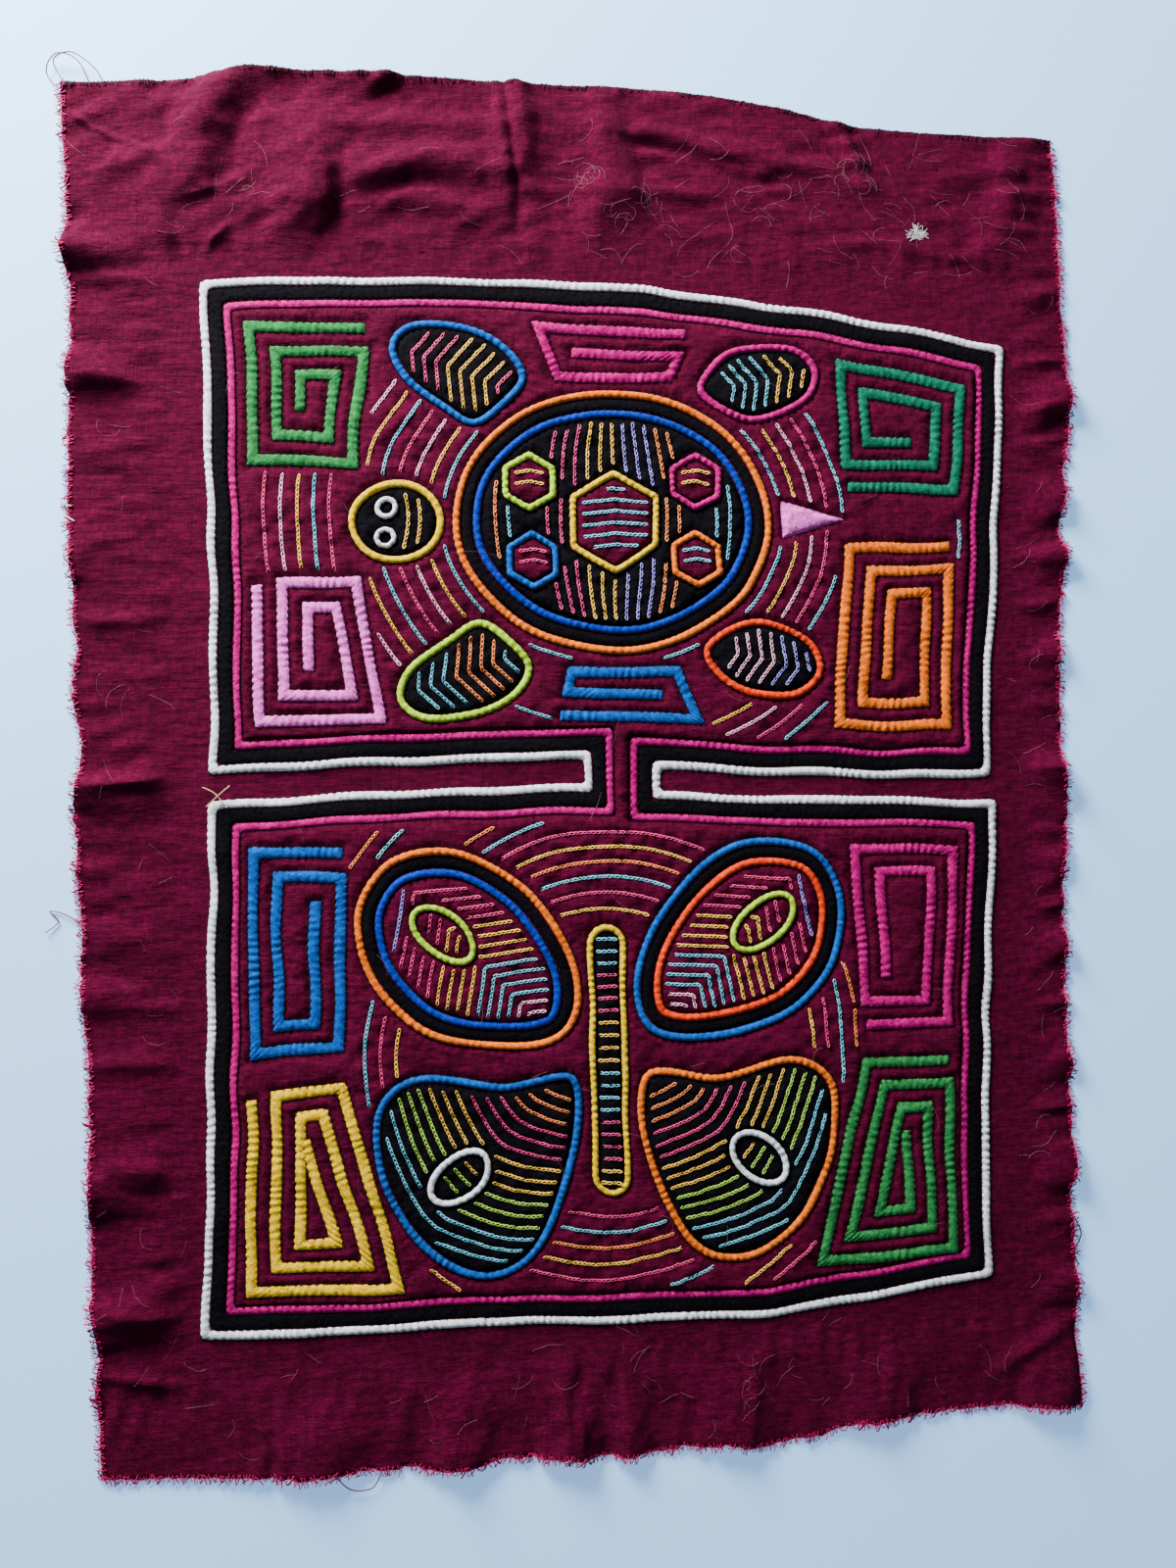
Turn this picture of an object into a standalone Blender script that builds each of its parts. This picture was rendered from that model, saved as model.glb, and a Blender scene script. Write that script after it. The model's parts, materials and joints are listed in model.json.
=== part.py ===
"""Mola panel: a reverse-applique cotton picture panel, lying on the surface it was put down on.

Every table and size below is in millimetres and MM turns it into metres. +X runs across the
panel, +Y along its long side, +Z up. The origin is on the surface, under the middle of the cloth.
"""

import math

import bmesh
import bpy
from mathutils import Vector

MM = 0.001

# Thickness of each layer, and the clearance kept between neighbouring pieces
GAP = 0.3
GROUND_THICKNESS = 1.0
WHITE_THICKNESS = 0.8
BLACK_THICKNESS = 0.9
PINK_THICKNESS = 1.0
FIELD_THICKNESS = 1.1
OUTLINE_THICKNESS = 0.9
PATCH_THICKNESS = 0.8
DETAIL_THICKNESS = 0.7

# Height of each layer's underside above the underside of the ground cloth
OVER_GROUND = GROUND_THICKNESS + GAP
OVER_FIELD = OVER_GROUND + FIELD_THICKNESS + GAP
OVER_PATCH = OVER_FIELD + PATCH_THICKNESS + GAP

# Widths of the cloth lines that show
WHITE_WIDTH = 3.6
BLACK_WIDTH = 5.2
PINK_WIDTH = 3.2
OUTLINE_WIDTH = 3.2
RING_BLACK_WIDTH = 4.4
DETAIL_WIDTH = 2.8
SPIRAL_WIDTH = 4.8
SPIRAL_PITCH = 9.6
SPIRAL_ROOM = 8.4

# Spacing of the cuts that let each piece follow the folds, and the half size they cover
MARGIN_PITCH = 12.0
SEWN_PITCH = 36.0
CUT_REACH = (210, 286)
CUT_MERGE = 0.01
SEWN_LOW = (-166.0, -232.0)
SEWN_HIGH = (181.0, 204.0)

# Distance over which the folds fade out towards the sewn part
MARGIN_FADE = 15.0

# Linear colours of the dyed cottons
COLOURS = {
    "burgundy": (0.155, 0.006, 0.034),
    "white": (0.80, 0.80, 0.80),
    "black": (0.008, 0.008, 0.010),
    "pink": (0.66, 0.035, 0.27),
    "light_pink": (0.83, 0.32, 0.56),
    "orange": (0.85, 0.20, 0.012),
    "red_orange": (0.80, 0.075, 0.018),
    "yellow": (0.85, 0.50, 0.03),
    "lime": (0.40, 0.66, 0.07),
    "green": (0.035, 0.27, 0.085),
    "teal": (0.006, 0.24, 0.135),
    "azure": (0.006, 0.23, 0.60),
    "blue": (0.006, 0.075, 0.47),
}
CLOTH_ROUGHNESS = 0.9

# Raw edge of the ground cloth, anticlockwise from the lower left corner. Columns: x, y
GROUND_EDGE = (
    (-202, -273), (-175, -275), (-123, -278), (-53, -279), (-29, -278), (5, -281), (46, -279),
    (66, -282), (87, -280), (102, -275), (141, -274), (181, -274), (202, -276),
    (200, -245), (201, -220), (199, -181), (201, -168), (200, -135), (199, -93), (199, -52),
    (202, -19), (199, -6), (200, 16), (199, 50), (203, 83), (201, 96), (206, 139), (206, 167),
    (204, 192), (203, 241), (201, 263),
    (177, 264), (143, 265), (110, 267), (86, 273), (57, 277), (35, 279), (-30, 280),
    (-77, 281), (-130, 282), (-154, 277), (-203, 274),
    (-202, 222), (-204, 207), (-201, 192), (-203, 159), (-205, 106), (-203, 55), (-205, 33),
    (-202, 17), (-206, -14), (-204, -60), (-205, -83), (-203, -107), (-204, -161), (-204, -207),
    (-202, -225), (-204, -237),
)

# Soft folds where the cloth lifts off the surface. Columns: x, y, turn of its length in degrees,
# half length, half width, height
FOLDS = (
    # top margin
    (-136, 262, 62, 46, 20, 5.5),
    (-172, 232, 38, 40, 14, 3.0),
    (-112, 226, 66, 30, 13, 2.6),
    (-29, 262, 86, 46, 12, 3.2),
    (14, 258, 88, 44, 18, 3.0),
    (66, 250, -12, 62, 13, 2.2),
    (108, 258, -50, 32, 14, 3.4),
    (168, 240, 6, 40, 15, 1.8),
    # left margin
    (-203, 210, 4, 34, 13, 4.2),
    (-204, 160, 2, 28, 12, 3.0),
    (-204, 92, -3, 30, 16, 2.0),
    (-205, -2, 2, 46, 13, 3.6),
    (-204, -84, 3, 32, 15, 1.8),
    (-204, -158, 8, 38, 18, 3.0),
    (-203, -212, 12, 42, 16, 3.4),
    # right margin
    (205, 152, -4, 26, 13, 3.6),
    (202, 112, 3, 26, 12, 2.6),
    (203, 84, -2, 28, 13, 3.4),
    (200, 44, 2, 26, 12, 2.4),
    (201, -5, -3, 32, 14, 4.4),
    (200, -44, 3, 30, 13, 2.4),
    (199, -82, -2, 32, 14, 2.8),
    (200, -126, 3, 30, 13, 2.2),
    (200, -172, -3, 34, 15, 3.6),
    (200, -222, 2, 32, 15, 2.4),
    # bottom margin
    (-122, -276, 80, 36, 30, 4.0),
    (-62, -279, 96, 40, 22, 4.6),
    (-20, -279, 86, 46, 14, 4.0),
    (6, -281, 88, 40, 14, 3.0),
    (52, -280, 94, 38, 24, 3.6),
    (112, -274, 84, 36, 24, 3.0),
    (186, -275, 70, 34, 22, 4.2),
)

# Slow swells of the stiff sewn part. Same columns
SWELLS = (
    (-66, 110, 12, 92, 78, 0.8),
    (92, 96, -22, 82, 72, 0.7),
    (44, -128, 16, 96, 80, 0.8),
    (-96, -120, -10, 80, 74, 0.7),
)

# Outer edge of the white line, anticlockwise from the lower left corner, with a slot of bare
# ground cloth let in from each side at mid height. Columns: x, y
BORDER_EDGE = (
    (-164, -221), (-121, -223), (-52, -224), (10, -227), (67, -229), (114, -224), (164, -219),
    (164, -141), (167, -75), (171, -16),
    (119, -13.5), (53, -11), (27, -8.5), (27, 0), (53, -2), (119, -6.5), (168, -6),
    (169, 25), (174, 91), (177, 141), (179, 176),
    (91, 191), (26, 199), (-48, 201), (-102, 201), (-153, 198),
    (-152, 77), (-154, 3), (-85, 4.5), (-5, 5), (-5, -4.5), (-85, -5.5), (-155, -8),
    (-158, -101), (-160, -171),
)

# Angular spirals of the background. Columns: name, colour, the four corners of its outside in the
# order the strip goes round
SPIRALS = (
    ("upper_left_high", "green", ((-86, 182), (-136, 182), (-136, 125), (-92, 123))),
    ("upper_left_low", "light_pink", ((-136, 80), (-136, 21), (-84, 21), (-92, 81))),
    ("upper_middle_high", "pink", ((46, 181), (-22, 184), (-14, 158.5), (36, 158.5))),
    ("upper_middle_low", "azure", ((-18, 21), (46, 18), (36, 43), (-10, 43))),
    ("upper_right_high", "teal", ((106, 114), (157, 112), (161, 160), (104, 170))),
    ("upper_right_low", "orange", ((155, 94), (106, 92), (100, 15), (151, 13))),
    ("lower_left_high", "azure", ((-101, -28), (-140, -26), (-142, -112), (-104, -109))),
    ("lower_left_low", "yellow", ((-143, -124), (-146, -206), (-82, -208), (-104, -121))),
    ("lower_right_high", "pink", ((109, -111), (149, -112), (153, -35), (106, -32))),
    ("lower_right_low", "green", ((149, -124), (109, -122), (86, -210), (149, -208))),
)

# Turtle of the upper compartment, around its own middle. Outlines have columns x, y
TURTLE_MIDDLE = (10, 102)
SHELL_HALF_LENGTH = 66
SHELL_HALF_WIDTH = 54
SHELL_STEPS = 36
HEAD_MIDDLE = (-88, 0)
HEAD_HALF_LENGTH = 19
HEAD_HALF_WIDTH = 17
HEAD_STEPS = 20
EYE_OFFSET = (-4, 6.0)
EYE_RADIUS = 4.6
EYE_WIDTH = 2.2
EYE_STEPS = 12
FRONT_FLIPPER = (
    (-44, 46), (-35, 58), (-42, 71), (-58, 79), (-80, 80), (-90, 71), (-84, 57), (-68, 45), (-56, 39),
)
BACK_FLIPPER = ((36, 52), (42, 65), (56, 73), (76, 73), (87, 63), (83, 50), (68, 42), (53, 41))
TAIL = ((70, 8), (97, 0), (70, -8))
# Columns: x, y, radius, colour of its outline
SCUTES = (
    (0, 0, 21, "yellow"),
    (-34, 16, 12.5, "lime"),
    (-34, -16, 12.5, "azure"),
    (34, 16, 12.5, "pink"),
    (34, -16, 12.5, "orange"),
)
SCUTE_SIDES = 6
SCUTE_TURN = 30

# Butterfly of the lower compartment, around its own middle. Outlines have columns x, y
BUTTERFLY_MIDDLE = (2, -116)
UPPER_WING = (
    (16, 10), (11, 26), (15, 46), (32, 70), (58, 86), (87, 83), (101, 63), (97, 36), (80, 15),
    (56, 6), (32, 4),
)
LOWER_WING = (
    (14, -8), (44, -10), (76, -4), (94, -16), (94, -46), (79, -74), (56, -88), (31, -79), (15, -44),
)
BODY_HALF_LENGTH = 56
BODY_HALF_WIDTH = 8
BODY_DROP = -2
BODY_STEPS = 16
# Columns: x, y, half length, half width, turn in degrees, colour of the outline
WING_SPOTS = (
    (66, 52, 16, 10, 40, "lime"),
    (62, -46, 15, 10, -40, "white"),
)
SPOT_STEPS = 16
CURVE_STEPS = 3


def fold_rise(fold, x, y):
    """Height that one fold gives at a place: a smooth mound that ends at its half sizes."""
    mid_x, mid_y, turn, half_length, half_width, height = fold
    cos, sin = math.cos(math.radians(turn)), math.sin(math.radians(turn))
    along = ((x - mid_x) * cos + (y - mid_y) * sin) / half_length
    across = ((y - mid_y) * cos - (x - mid_x) * sin) / half_width
    if abs(along) >= 1 or abs(across) >= 1:
        return 0.0
    return height * (1 - along**2) ** 2 * (1 - across**2) ** 2


def margin_share(x, y):
    """How freely the cloth folds: from 0 over the stiff sewn part to 1 out in the margin."""
    beyond_x = max(SEWN_LOW[0] - x, x - SEWN_HIGH[0], 0)
    beyond_y = max(SEWN_LOW[1] - y, y - SEWN_HIGH[1], 0)
    share = min(math.hypot(beyond_x, beyond_y) / MARGIN_FADE, 1)
    return share * share * (3 - 2 * share)


def cloth_rise(x, y):
    """Height of the ground cloth's underside above the surface."""
    folds = sum(fold_rise(fold, x, y) for fold in FOLDS)
    swells = sum(fold_rise(swell, x, y) for swell in SWELLS)
    return folds * margin_share(x, y) + swells


def anticlockwise(loop):
    area = sum(a[0] * b[1] - b[0] * a[1] for a, b in zip(loop, loop[1:] + loop[:1]))
    return loop if area > 0 else loop[::-1]


def ellipse(middle, half_length, half_width, steps, turn=0.0):
    cos, sin = math.cos(math.radians(turn)), math.sin(math.radians(turn))
    loop = []
    for step in range(steps):
        angle = 2 * math.pi * step / steps
        x, y = half_length * math.cos(angle), half_width * math.sin(angle)
        loop.append((middle[0] + x * cos - y * sin, middle[1] + x * sin + y * cos))
    return loop


def capsule(middle, half_length, radius, steps):
    """Upright outline with straight sides and round ends."""
    loop = []
    for step in range(steps):
        angle = 2 * math.pi * (step + 0.5) / steps
        shift = math.copysign(half_length - radius, math.sin(angle))
        x, y = radius * math.cos(angle), radius * math.sin(angle) + shift
        loop.append((middle[0] + x, middle[1] + y))
    return loop


def round_loop(points, steps):
    """Closed outline that runs smoothly through the points, by Catmull-Rom spans."""
    loop = []
    for i in range(len(points)):
        a, b, c, d = (Vector(points[(i + k) % len(points)]) for k in (-1, 0, 1, 2))
        for step in range(steps):
            t = step / steps
            bend = (c - a) * t + (2 * a - 5 * b + 4 * c - d) * t**2 + (3 * b - a - 3 * c + d) * t**3
            loop.append(tuple(b + bend / 2))
    return anticlockwise(loop)


def moved(points, middle, flip_x=1, flip_y=1):
    return [(middle[0] + flip_x * x, middle[1] + flip_y * y) for x, y in points]


def side_normals(loop):
    """Inward normal of each side of an anticlockwise loop, the side from a point to the next."""
    normals = []
    for a, b in zip(loop, loop[1:] + loop[:1]):
        side = (Vector(b) - Vector(a)).normalized()
        normals.append(Vector((-side.y, side.x)))
    return normals


def inset(loop, distance):
    """The loop moved inwards by a distance, with mitred corners."""
    normals = side_normals(loop)
    result = []
    for i, point in enumerate(loop):
        before, after = normals[i - 1], normals[i]
        mitre = (before + after) / (1 + before.dot(after))
        result.append(tuple(Vector(point) + mitre * distance))
    return result


def spiral_path(corners):
    """Middle line of a strip that winds inwards along the four sides until it has no room left."""
    sense = 1 if anticlockwise(list(corners)) == list(corners) else -1

    def side(count):
        start, end = Vector(corners[count % 4]), Vector(corners[(count + 1) % 4])
        along = (end - start).normalized()
        inward = sense * Vector((-along.y, along.x))
        return start + inward * (SPIRAL_WIDTH / 2 + SPIRAL_PITCH * (max(count, 0) // 4)), along

    path = []
    while True:
        (a, along_a), (b, along_b) = side(len(path) - 1), side(len(path))
        corner = a + along_a * ((b - a).cross(along_b) / along_a.cross(along_b))
        if path and (corner - Vector(path[-1])).dot(along_a) < SPIRAL_ROOM:
            return path
        path.append(tuple(corner))


def patch(loop):
    """A piece cut to one outline."""
    return loop, [list(range(len(loop)))]


def band(loop, width):
    """The part of a layer that shows as a line inside its outline."""
    count = len(loop)
    quads = [[i, (i + 1) % count, count + (i + 1) % count, count + i] for i in range(count)]
    return loop + inset(loop, width), quads


def strip(path, width):
    """A piece of even width along an open path, with mitred corners and square ends."""
    normals = []
    for a, b in zip(path, path[1:]):
        along = (Vector(b) - Vector(a)).normalized()
        normals.append(Vector((-along.y, along.x)))
    left, right = [], []
    for i, point in enumerate(path):
        before = normals[max(i - 1, 0)]
        after = normals[min(i, len(normals) - 1)]
        mitre = (before + after) / (1 + before.dot(after)) * width / 2
        left.append(tuple(Vector(point) + mitre))
        right.append(tuple(Vector(point) - mitre))
    count = len(path)
    quads = [[i, count + i, count + i + 1, i + 1] for i in range(count - 1)]
    return left + right, quads


def cut_lines(low, high, pitch):
    count = math.ceil((high - low) / pitch)
    return [low + (high - low) * i / count for i in range(1, count)]


def cut_across(mesh, faces, axis, place):
    """Cuts faces along a line of constant x or y, so that they can bend there."""
    normal = Vector((1, 0, 0)) if axis == 0 else Vector((0, 1, 0))
    geometry = list({e for f in faces for e in f.edges}) + list(faces)
    geometry += list({v for f in faces for v in f.verts})
    bmesh.ops.bisect_plane(
        mesh, geom=geometry, dist=CUT_MERGE * MM, plane_co=normal * place * MM, plane_no=normal
    )


def in_margin(face):
    middle = face.calc_center_median() / MM
    return any(not SEWN_LOW[k] < middle[k] < SEWN_HIGH[k] for k in (0, 1))


def cotton(colour):
    """The dyed cotton of one colour."""
    material = bpy.data.materials.get(colour) or bpy.data.materials.new(colour)
    material.use_nodes = True
    shader = material.node_tree.nodes["Principled BSDF"]
    shader.inputs["Base Color"].default_value = (*COLOURS[colour], 1)
    shader.inputs["Roughness"].default_value = CLOTH_ROUGHNESS
    shader.inputs["Metallic"].default_value = 0.0
    material.diffuse_color = (*COLOURS[colour], 1)
    return material


def lay_piece(name, shape, underside, thickness, colour, margin=False):
    """Lays one piece of cloth over the folds: flat faces are cut, raised and given thickness."""
    points, faces = shape
    mesh = bmesh.new()
    corners = [mesh.verts.new((x * MM, y * MM, 0)) for x, y in points]
    for face in faces:
        mesh.faces.new([corners[i] for i in face])
    for axis in (0, 1):
        for place in cut_lines(SEWN_LOW[axis], SEWN_HIGH[axis], SEWN_PITCH):
            cut_across(mesh, mesh.faces, axis, place)
    if margin:
        for axis in (0, 1):
            for place in (SEWN_LOW[axis], SEWN_HIGH[axis]):
                cut_across(mesh, mesh.faces, axis, place)
        for axis, reach in enumerate(CUT_REACH):
            for place in cut_lines(-reach, reach, MARGIN_PITCH):
                cut_across(mesh, [f for f in mesh.faces if in_margin(f)], axis, place)
    bmesh.ops.triangulate(mesh, faces=mesh.faces)
    for vertex in mesh.verts:
        rise = cloth_rise(vertex.co.x / MM, vertex.co.y / MM)
        vertex.co.z = (underside + rise) * MM
    for face in mesh.faces:
        face.normal_update()
        if face.normal.z < 0:
            face.normal_flip()
    data = bpy.data.meshes.new(name)
    mesh.to_mesh(data)
    mesh.free()
    data.materials.append(cotton(colour))
    piece = bpy.data.objects.new(name, data)
    panel.objects.link(piece)
    solid = piece.modifiers.new("thickness", "SOLIDIFY")
    solid.thickness = thickness * MM
    solid.offset = 1.0
    return piece


def lay_outlined(name, loop, outline, fill, underside, width=OUTLINE_WIDTH):
    """A shape as it shows: a line of one colour round a patch of another."""
    lay_piece(name + "_outline", band(loop, width), underside, OUTLINE_THICKNESS, outline)
    inner = inset(loop, width + GAP)
    lay_piece(name + "_patch", patch(inner), underside, PATCH_THICKNESS, fill)


def lay_ringed(name, loop, outline, inner_line, fill):
    """A shape with two lines round it and black cloth between them."""
    rings = (
        ("outline", outline, OUTLINE_WIDTH),
        ("ring", "black", RING_BLACK_WIDTH),
        ("inner_line", inner_line, OUTLINE_WIDTH),
    )
    for part, colour, width in rings:
        lay_piece(f"{name}_{part}", band(loop, width), OVER_FIELD, OUTLINE_THICKNESS, colour)
        loop = inset(loop, width + GAP)
    lay_piece(name + "_patch", patch(loop), OVER_FIELD, PATCH_THICKNESS, fill)


def lay_ground():
    lay_piece("ground_cloth", patch(list(GROUND_EDGE)), 0, GROUND_THICKNESS, "burgundy", True)


def lay_borders():
    """White, black and pink lines, each the showing edge of a layer, then the field inside them."""
    loop = list(BORDER_EDGE)
    layers = (
        ("border_white", "white", WHITE_WIDTH, WHITE_THICKNESS),
        ("border_black", "black", BLACK_WIDTH, BLACK_THICKNESS),
        ("border_pink", "pink", PINK_WIDTH, PINK_THICKNESS),
    )
    for name, colour, width, thickness in layers:
        lay_piece(name, band(loop, width), OVER_GROUND, thickness, colour)
        loop = inset(loop, width + GAP)
    lay_piece("field_cloth", patch(loop), OVER_GROUND, FIELD_THICKNESS, "burgundy")


def lay_spirals():
    for name, colour, corners in SPIRALS:
        shape = strip(spiral_path(corners), SPIRAL_WIDTH)
        lay_piece("spiral_" + name, shape, OVER_FIELD, OUTLINE_THICKNESS, colour)


def lay_turtle():
    shell = ellipse(TURTLE_MIDDLE, SHELL_HALF_LENGTH, SHELL_HALF_WIDTH, SHELL_STEPS)
    lay_ringed("turtle_shell", shell, "orange", "blue", "black")
    for number, (x, y, radius, colour) in enumerate(SCUTES, 1):
        place = moved([(x, y)], TURTLE_MIDDLE)[0]
        hexagon = ellipse(place, radius, radius, SCUTE_SIDES, SCUTE_TURN)
        lay_outlined(f"turtle_scute_{number}", hexagon, colour, "burgundy", OVER_PATCH, DETAIL_WIDTH)

    head_middle = moved([HEAD_MIDDLE], TURTLE_MIDDLE)[0]
    head = ellipse(head_middle, HEAD_HALF_LENGTH, HEAD_HALF_WIDTH, HEAD_STEPS)
    lay_outlined("turtle_head", head, "yellow", "black", OVER_FIELD)
    for side, flip in (("upper", 1), ("lower", -1)):
        eye = ellipse(moved([EYE_OFFSET], head_middle, 1, flip)[0], EYE_RADIUS, EYE_RADIUS, EYE_STEPS)
        lay_piece(f"turtle_eye_{side}", band(eye, EYE_WIDTH), OVER_PATCH, DETAIL_THICKNESS, "white")
    flippers = (
        ("front_upper", FRONT_FLIPPER, 1, "azure"),
        ("front_lower", FRONT_FLIPPER, -1, "lime"),
        ("back_upper", BACK_FLIPPER, 1, "pink"),
        ("back_lower", BACK_FLIPPER, -1, "red_orange"),
    )
    for name, outline, flip, colour in flippers:
        loop = round_loop(moved(outline, TURTLE_MIDDLE, 1, flip), CURVE_STEPS)
        lay_outlined("turtle_flipper_" + name, loop, colour, "black", OVER_FIELD)
    tail = anticlockwise(moved(TAIL, TURTLE_MIDDLE))
    lay_piece("turtle_tail", patch(tail), OVER_FIELD, OUTLINE_THICKNESS, "light_pink")


def lay_butterfly():
    wings = (
        ("left", -1, "orange", "blue", "azure"),
        ("right", 1, "azure", "red_orange", "orange"),
    )
    for side, flip, outline, inner_line, lower in wings:
        upper_loop = round_loop(moved(UPPER_WING, BUTTERFLY_MIDDLE, flip), CURVE_STEPS)
        lay_ringed("butterfly_upper_wing_" + side, upper_loop, outline, inner_line, "burgundy")
        lower_loop = round_loop(moved(LOWER_WING, BUTTERFLY_MIDDLE, flip), CURVE_STEPS)
        lay_outlined("butterfly_lower_wing_" + side, lower_loop, lower, "black", OVER_FIELD)
    for number, (x, y, half_length, half_width, turn, colour) in enumerate(WING_SPOTS, 1):
        for side, flip in (("left", -1), ("right", 1)):
            place = moved([(x, y)], BUTTERFLY_MIDDLE, flip)[0]
            spot = ellipse(place, half_length, half_width, SPOT_STEPS, turn * flip)
            name = f"butterfly_spot_{number}_{side}"
            lay_piece(name, band(spot, DETAIL_WIDTH), OVER_PATCH, DETAIL_THICKNESS, colour)
    middle = moved([(0, BODY_DROP)], BUTTERFLY_MIDDLE)[0]
    body = capsule(middle, BODY_HALF_LENGTH, BODY_HALF_WIDTH, BODY_STEPS)
    lay_outlined("butterfly_body", body, "yellow", "black", OVER_FIELD, DETAIL_WIDTH)


for thing in list(bpy.data.objects):
    bpy.data.objects.remove(thing, do_unlink=True)
panel = bpy.data.collections.new("mola_panel")
bpy.context.scene.collection.children.link(panel)

lay_ground()
lay_borders()
lay_spirals()
lay_turtle()
lay_butterfly()
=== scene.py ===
"""Mola panel as it lies: burgundy cotton, sewn layers, spirals, two motifs and their stitching.

Tables and sizes are in millimetres and MM turns them into metres. +X runs across the panel,
+Y along its long side, +Z up from the surface that it lies on.
"""

import json
import math

import bpy
import numpy as np
from mathutils import Euler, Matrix, Vector, geometry, kdtree

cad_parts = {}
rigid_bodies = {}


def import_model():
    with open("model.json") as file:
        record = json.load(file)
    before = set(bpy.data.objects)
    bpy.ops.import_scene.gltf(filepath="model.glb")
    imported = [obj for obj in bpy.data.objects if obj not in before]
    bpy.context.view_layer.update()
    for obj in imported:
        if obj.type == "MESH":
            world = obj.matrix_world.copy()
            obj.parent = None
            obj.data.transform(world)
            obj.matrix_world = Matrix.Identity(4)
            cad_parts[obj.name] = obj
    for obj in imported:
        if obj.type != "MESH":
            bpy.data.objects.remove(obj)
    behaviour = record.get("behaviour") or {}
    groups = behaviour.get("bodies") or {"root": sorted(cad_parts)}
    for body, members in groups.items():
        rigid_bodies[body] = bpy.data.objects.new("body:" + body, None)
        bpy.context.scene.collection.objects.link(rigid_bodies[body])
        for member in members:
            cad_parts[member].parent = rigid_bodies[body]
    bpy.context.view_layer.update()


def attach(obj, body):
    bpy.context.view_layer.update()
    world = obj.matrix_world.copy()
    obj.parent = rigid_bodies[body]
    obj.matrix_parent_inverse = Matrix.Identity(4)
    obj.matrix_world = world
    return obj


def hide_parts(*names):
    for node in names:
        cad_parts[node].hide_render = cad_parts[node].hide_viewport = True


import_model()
MM = 0.001

# Camera, light and surface
# The panel lies face up on a plain pale surface, which has a faint glow of its own so that it
# stays even. It is seen from above and a little from its left, in soft low daylight from beyond
# its upper left corner.
CAMERA_PLACE = (-0.0538, -0.0021, 0.480)
CAMERA_TURN = (-0.179, -5.997, -1.522)
CAMERA_LENS = 27.045
SENSOR_WIDTH = 36.0
NEAREST_SEEN = 0.01
WINDOW_PLACE = (-0.52, 0.84, 0.34)
WINDOW_SIZE = 0.40
WINDOW_POWER = 60.0
ROOM_LIGHT = (0.62, 0.80, 1.0)
ROOM_STRENGTH = 0.33
SURFACE_SIZE = 3.0
SURFACE_COLOUR = (0.37, 0.67, 1.0)
SURFACE_GLOW = (0.24, 0.44, 0.80)
SURFACE_ROUGHNESS = 0.6

camera = bpy.data.objects.new("camera", bpy.data.cameras.new("camera"))
camera.data.lens = CAMERA_LENS
camera.data.sensor_width = SENSOR_WIDTH
camera.data.clip_start = NEAREST_SEEN
camera.location = CAMERA_PLACE
camera.rotation_euler = Euler([math.radians(turn) for turn in CAMERA_TURN])
bpy.context.scene.collection.objects.link(camera)
bpy.context.scene.camera = camera

window = bpy.data.objects.new("window_light", bpy.data.lights.new("window_light", "AREA"))
window.data.energy = WINDOW_POWER
window.data.size = WINDOW_SIZE
window.location = WINDOW_PLACE
window.rotation_euler = (-Vector(WINDOW_PLACE)).to_track_quat("-Z", "Y").to_euler()
bpy.context.scene.collection.objects.link(window)


def fill_inputs(tree, node, values):
    """Sets the inputs of a node, or links them where the value is another node's output."""
    for key, value in values.items():
        if isinstance(value, bpy.types.NodeSocket):
            tree.links.new(value, node.inputs[key])
        else:
            node.inputs[key].default_value = value


room = bpy.data.worlds.new("room")
room.use_nodes = True
sky_light = {"Color": (*ROOM_LIGHT, 1), "Strength": ROOM_STRENGTH}
fill_inputs(room.node_tree, room.node_tree.nodes["Background"], sky_light)
bpy.context.scene.world = room

bpy.ops.mesh.primitive_plane_add(size=SURFACE_SIZE, location=(0, 0, 0))
surface = bpy.context.object
surface.name = "pale_surface"
paint = bpy.data.materials.new("pale_surface")
paint.use_nodes = True
fill_inputs(paint.node_tree, paint.node_tree.nodes["Principled BSDF"], {
    "Base Color": (*SURFACE_COLOUR, 1), "Roughness": SURFACE_ROUGHNESS,
    "Emission Color": (*SURFACE_GLOW, 1), "Emission Strength": 1.0,
})
surface.data.materials.append(paint)

# Ground cloth
# One cut of burgundy plain-weave cotton. Its upper edge is nearly clean and the other three are
# raw. It lies loose, lifted by soft folds and by the creases pressed in while it was folded away.
CLOTH = 0.5
GROUND_CELL = 1.9
# The mesh is finer within this reach of creases that are at most this wide
FINE_CELL = 1.0
FINE_REACH_OF_CREASE = 4.0
SHARP_CREASE = 4.5
EDGE_STEP = 1.3
EDGE_WANDER = 0.5
EDGE_TEETH = 0.4
# The stiff sewn part, and how far beyond it the margin reaches its full folds
SEWN_LOW = (-166.0, -232.0)
SEWN_HIGH = (181.0, 204.0)
MARGIN_FADE = 15.0
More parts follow.
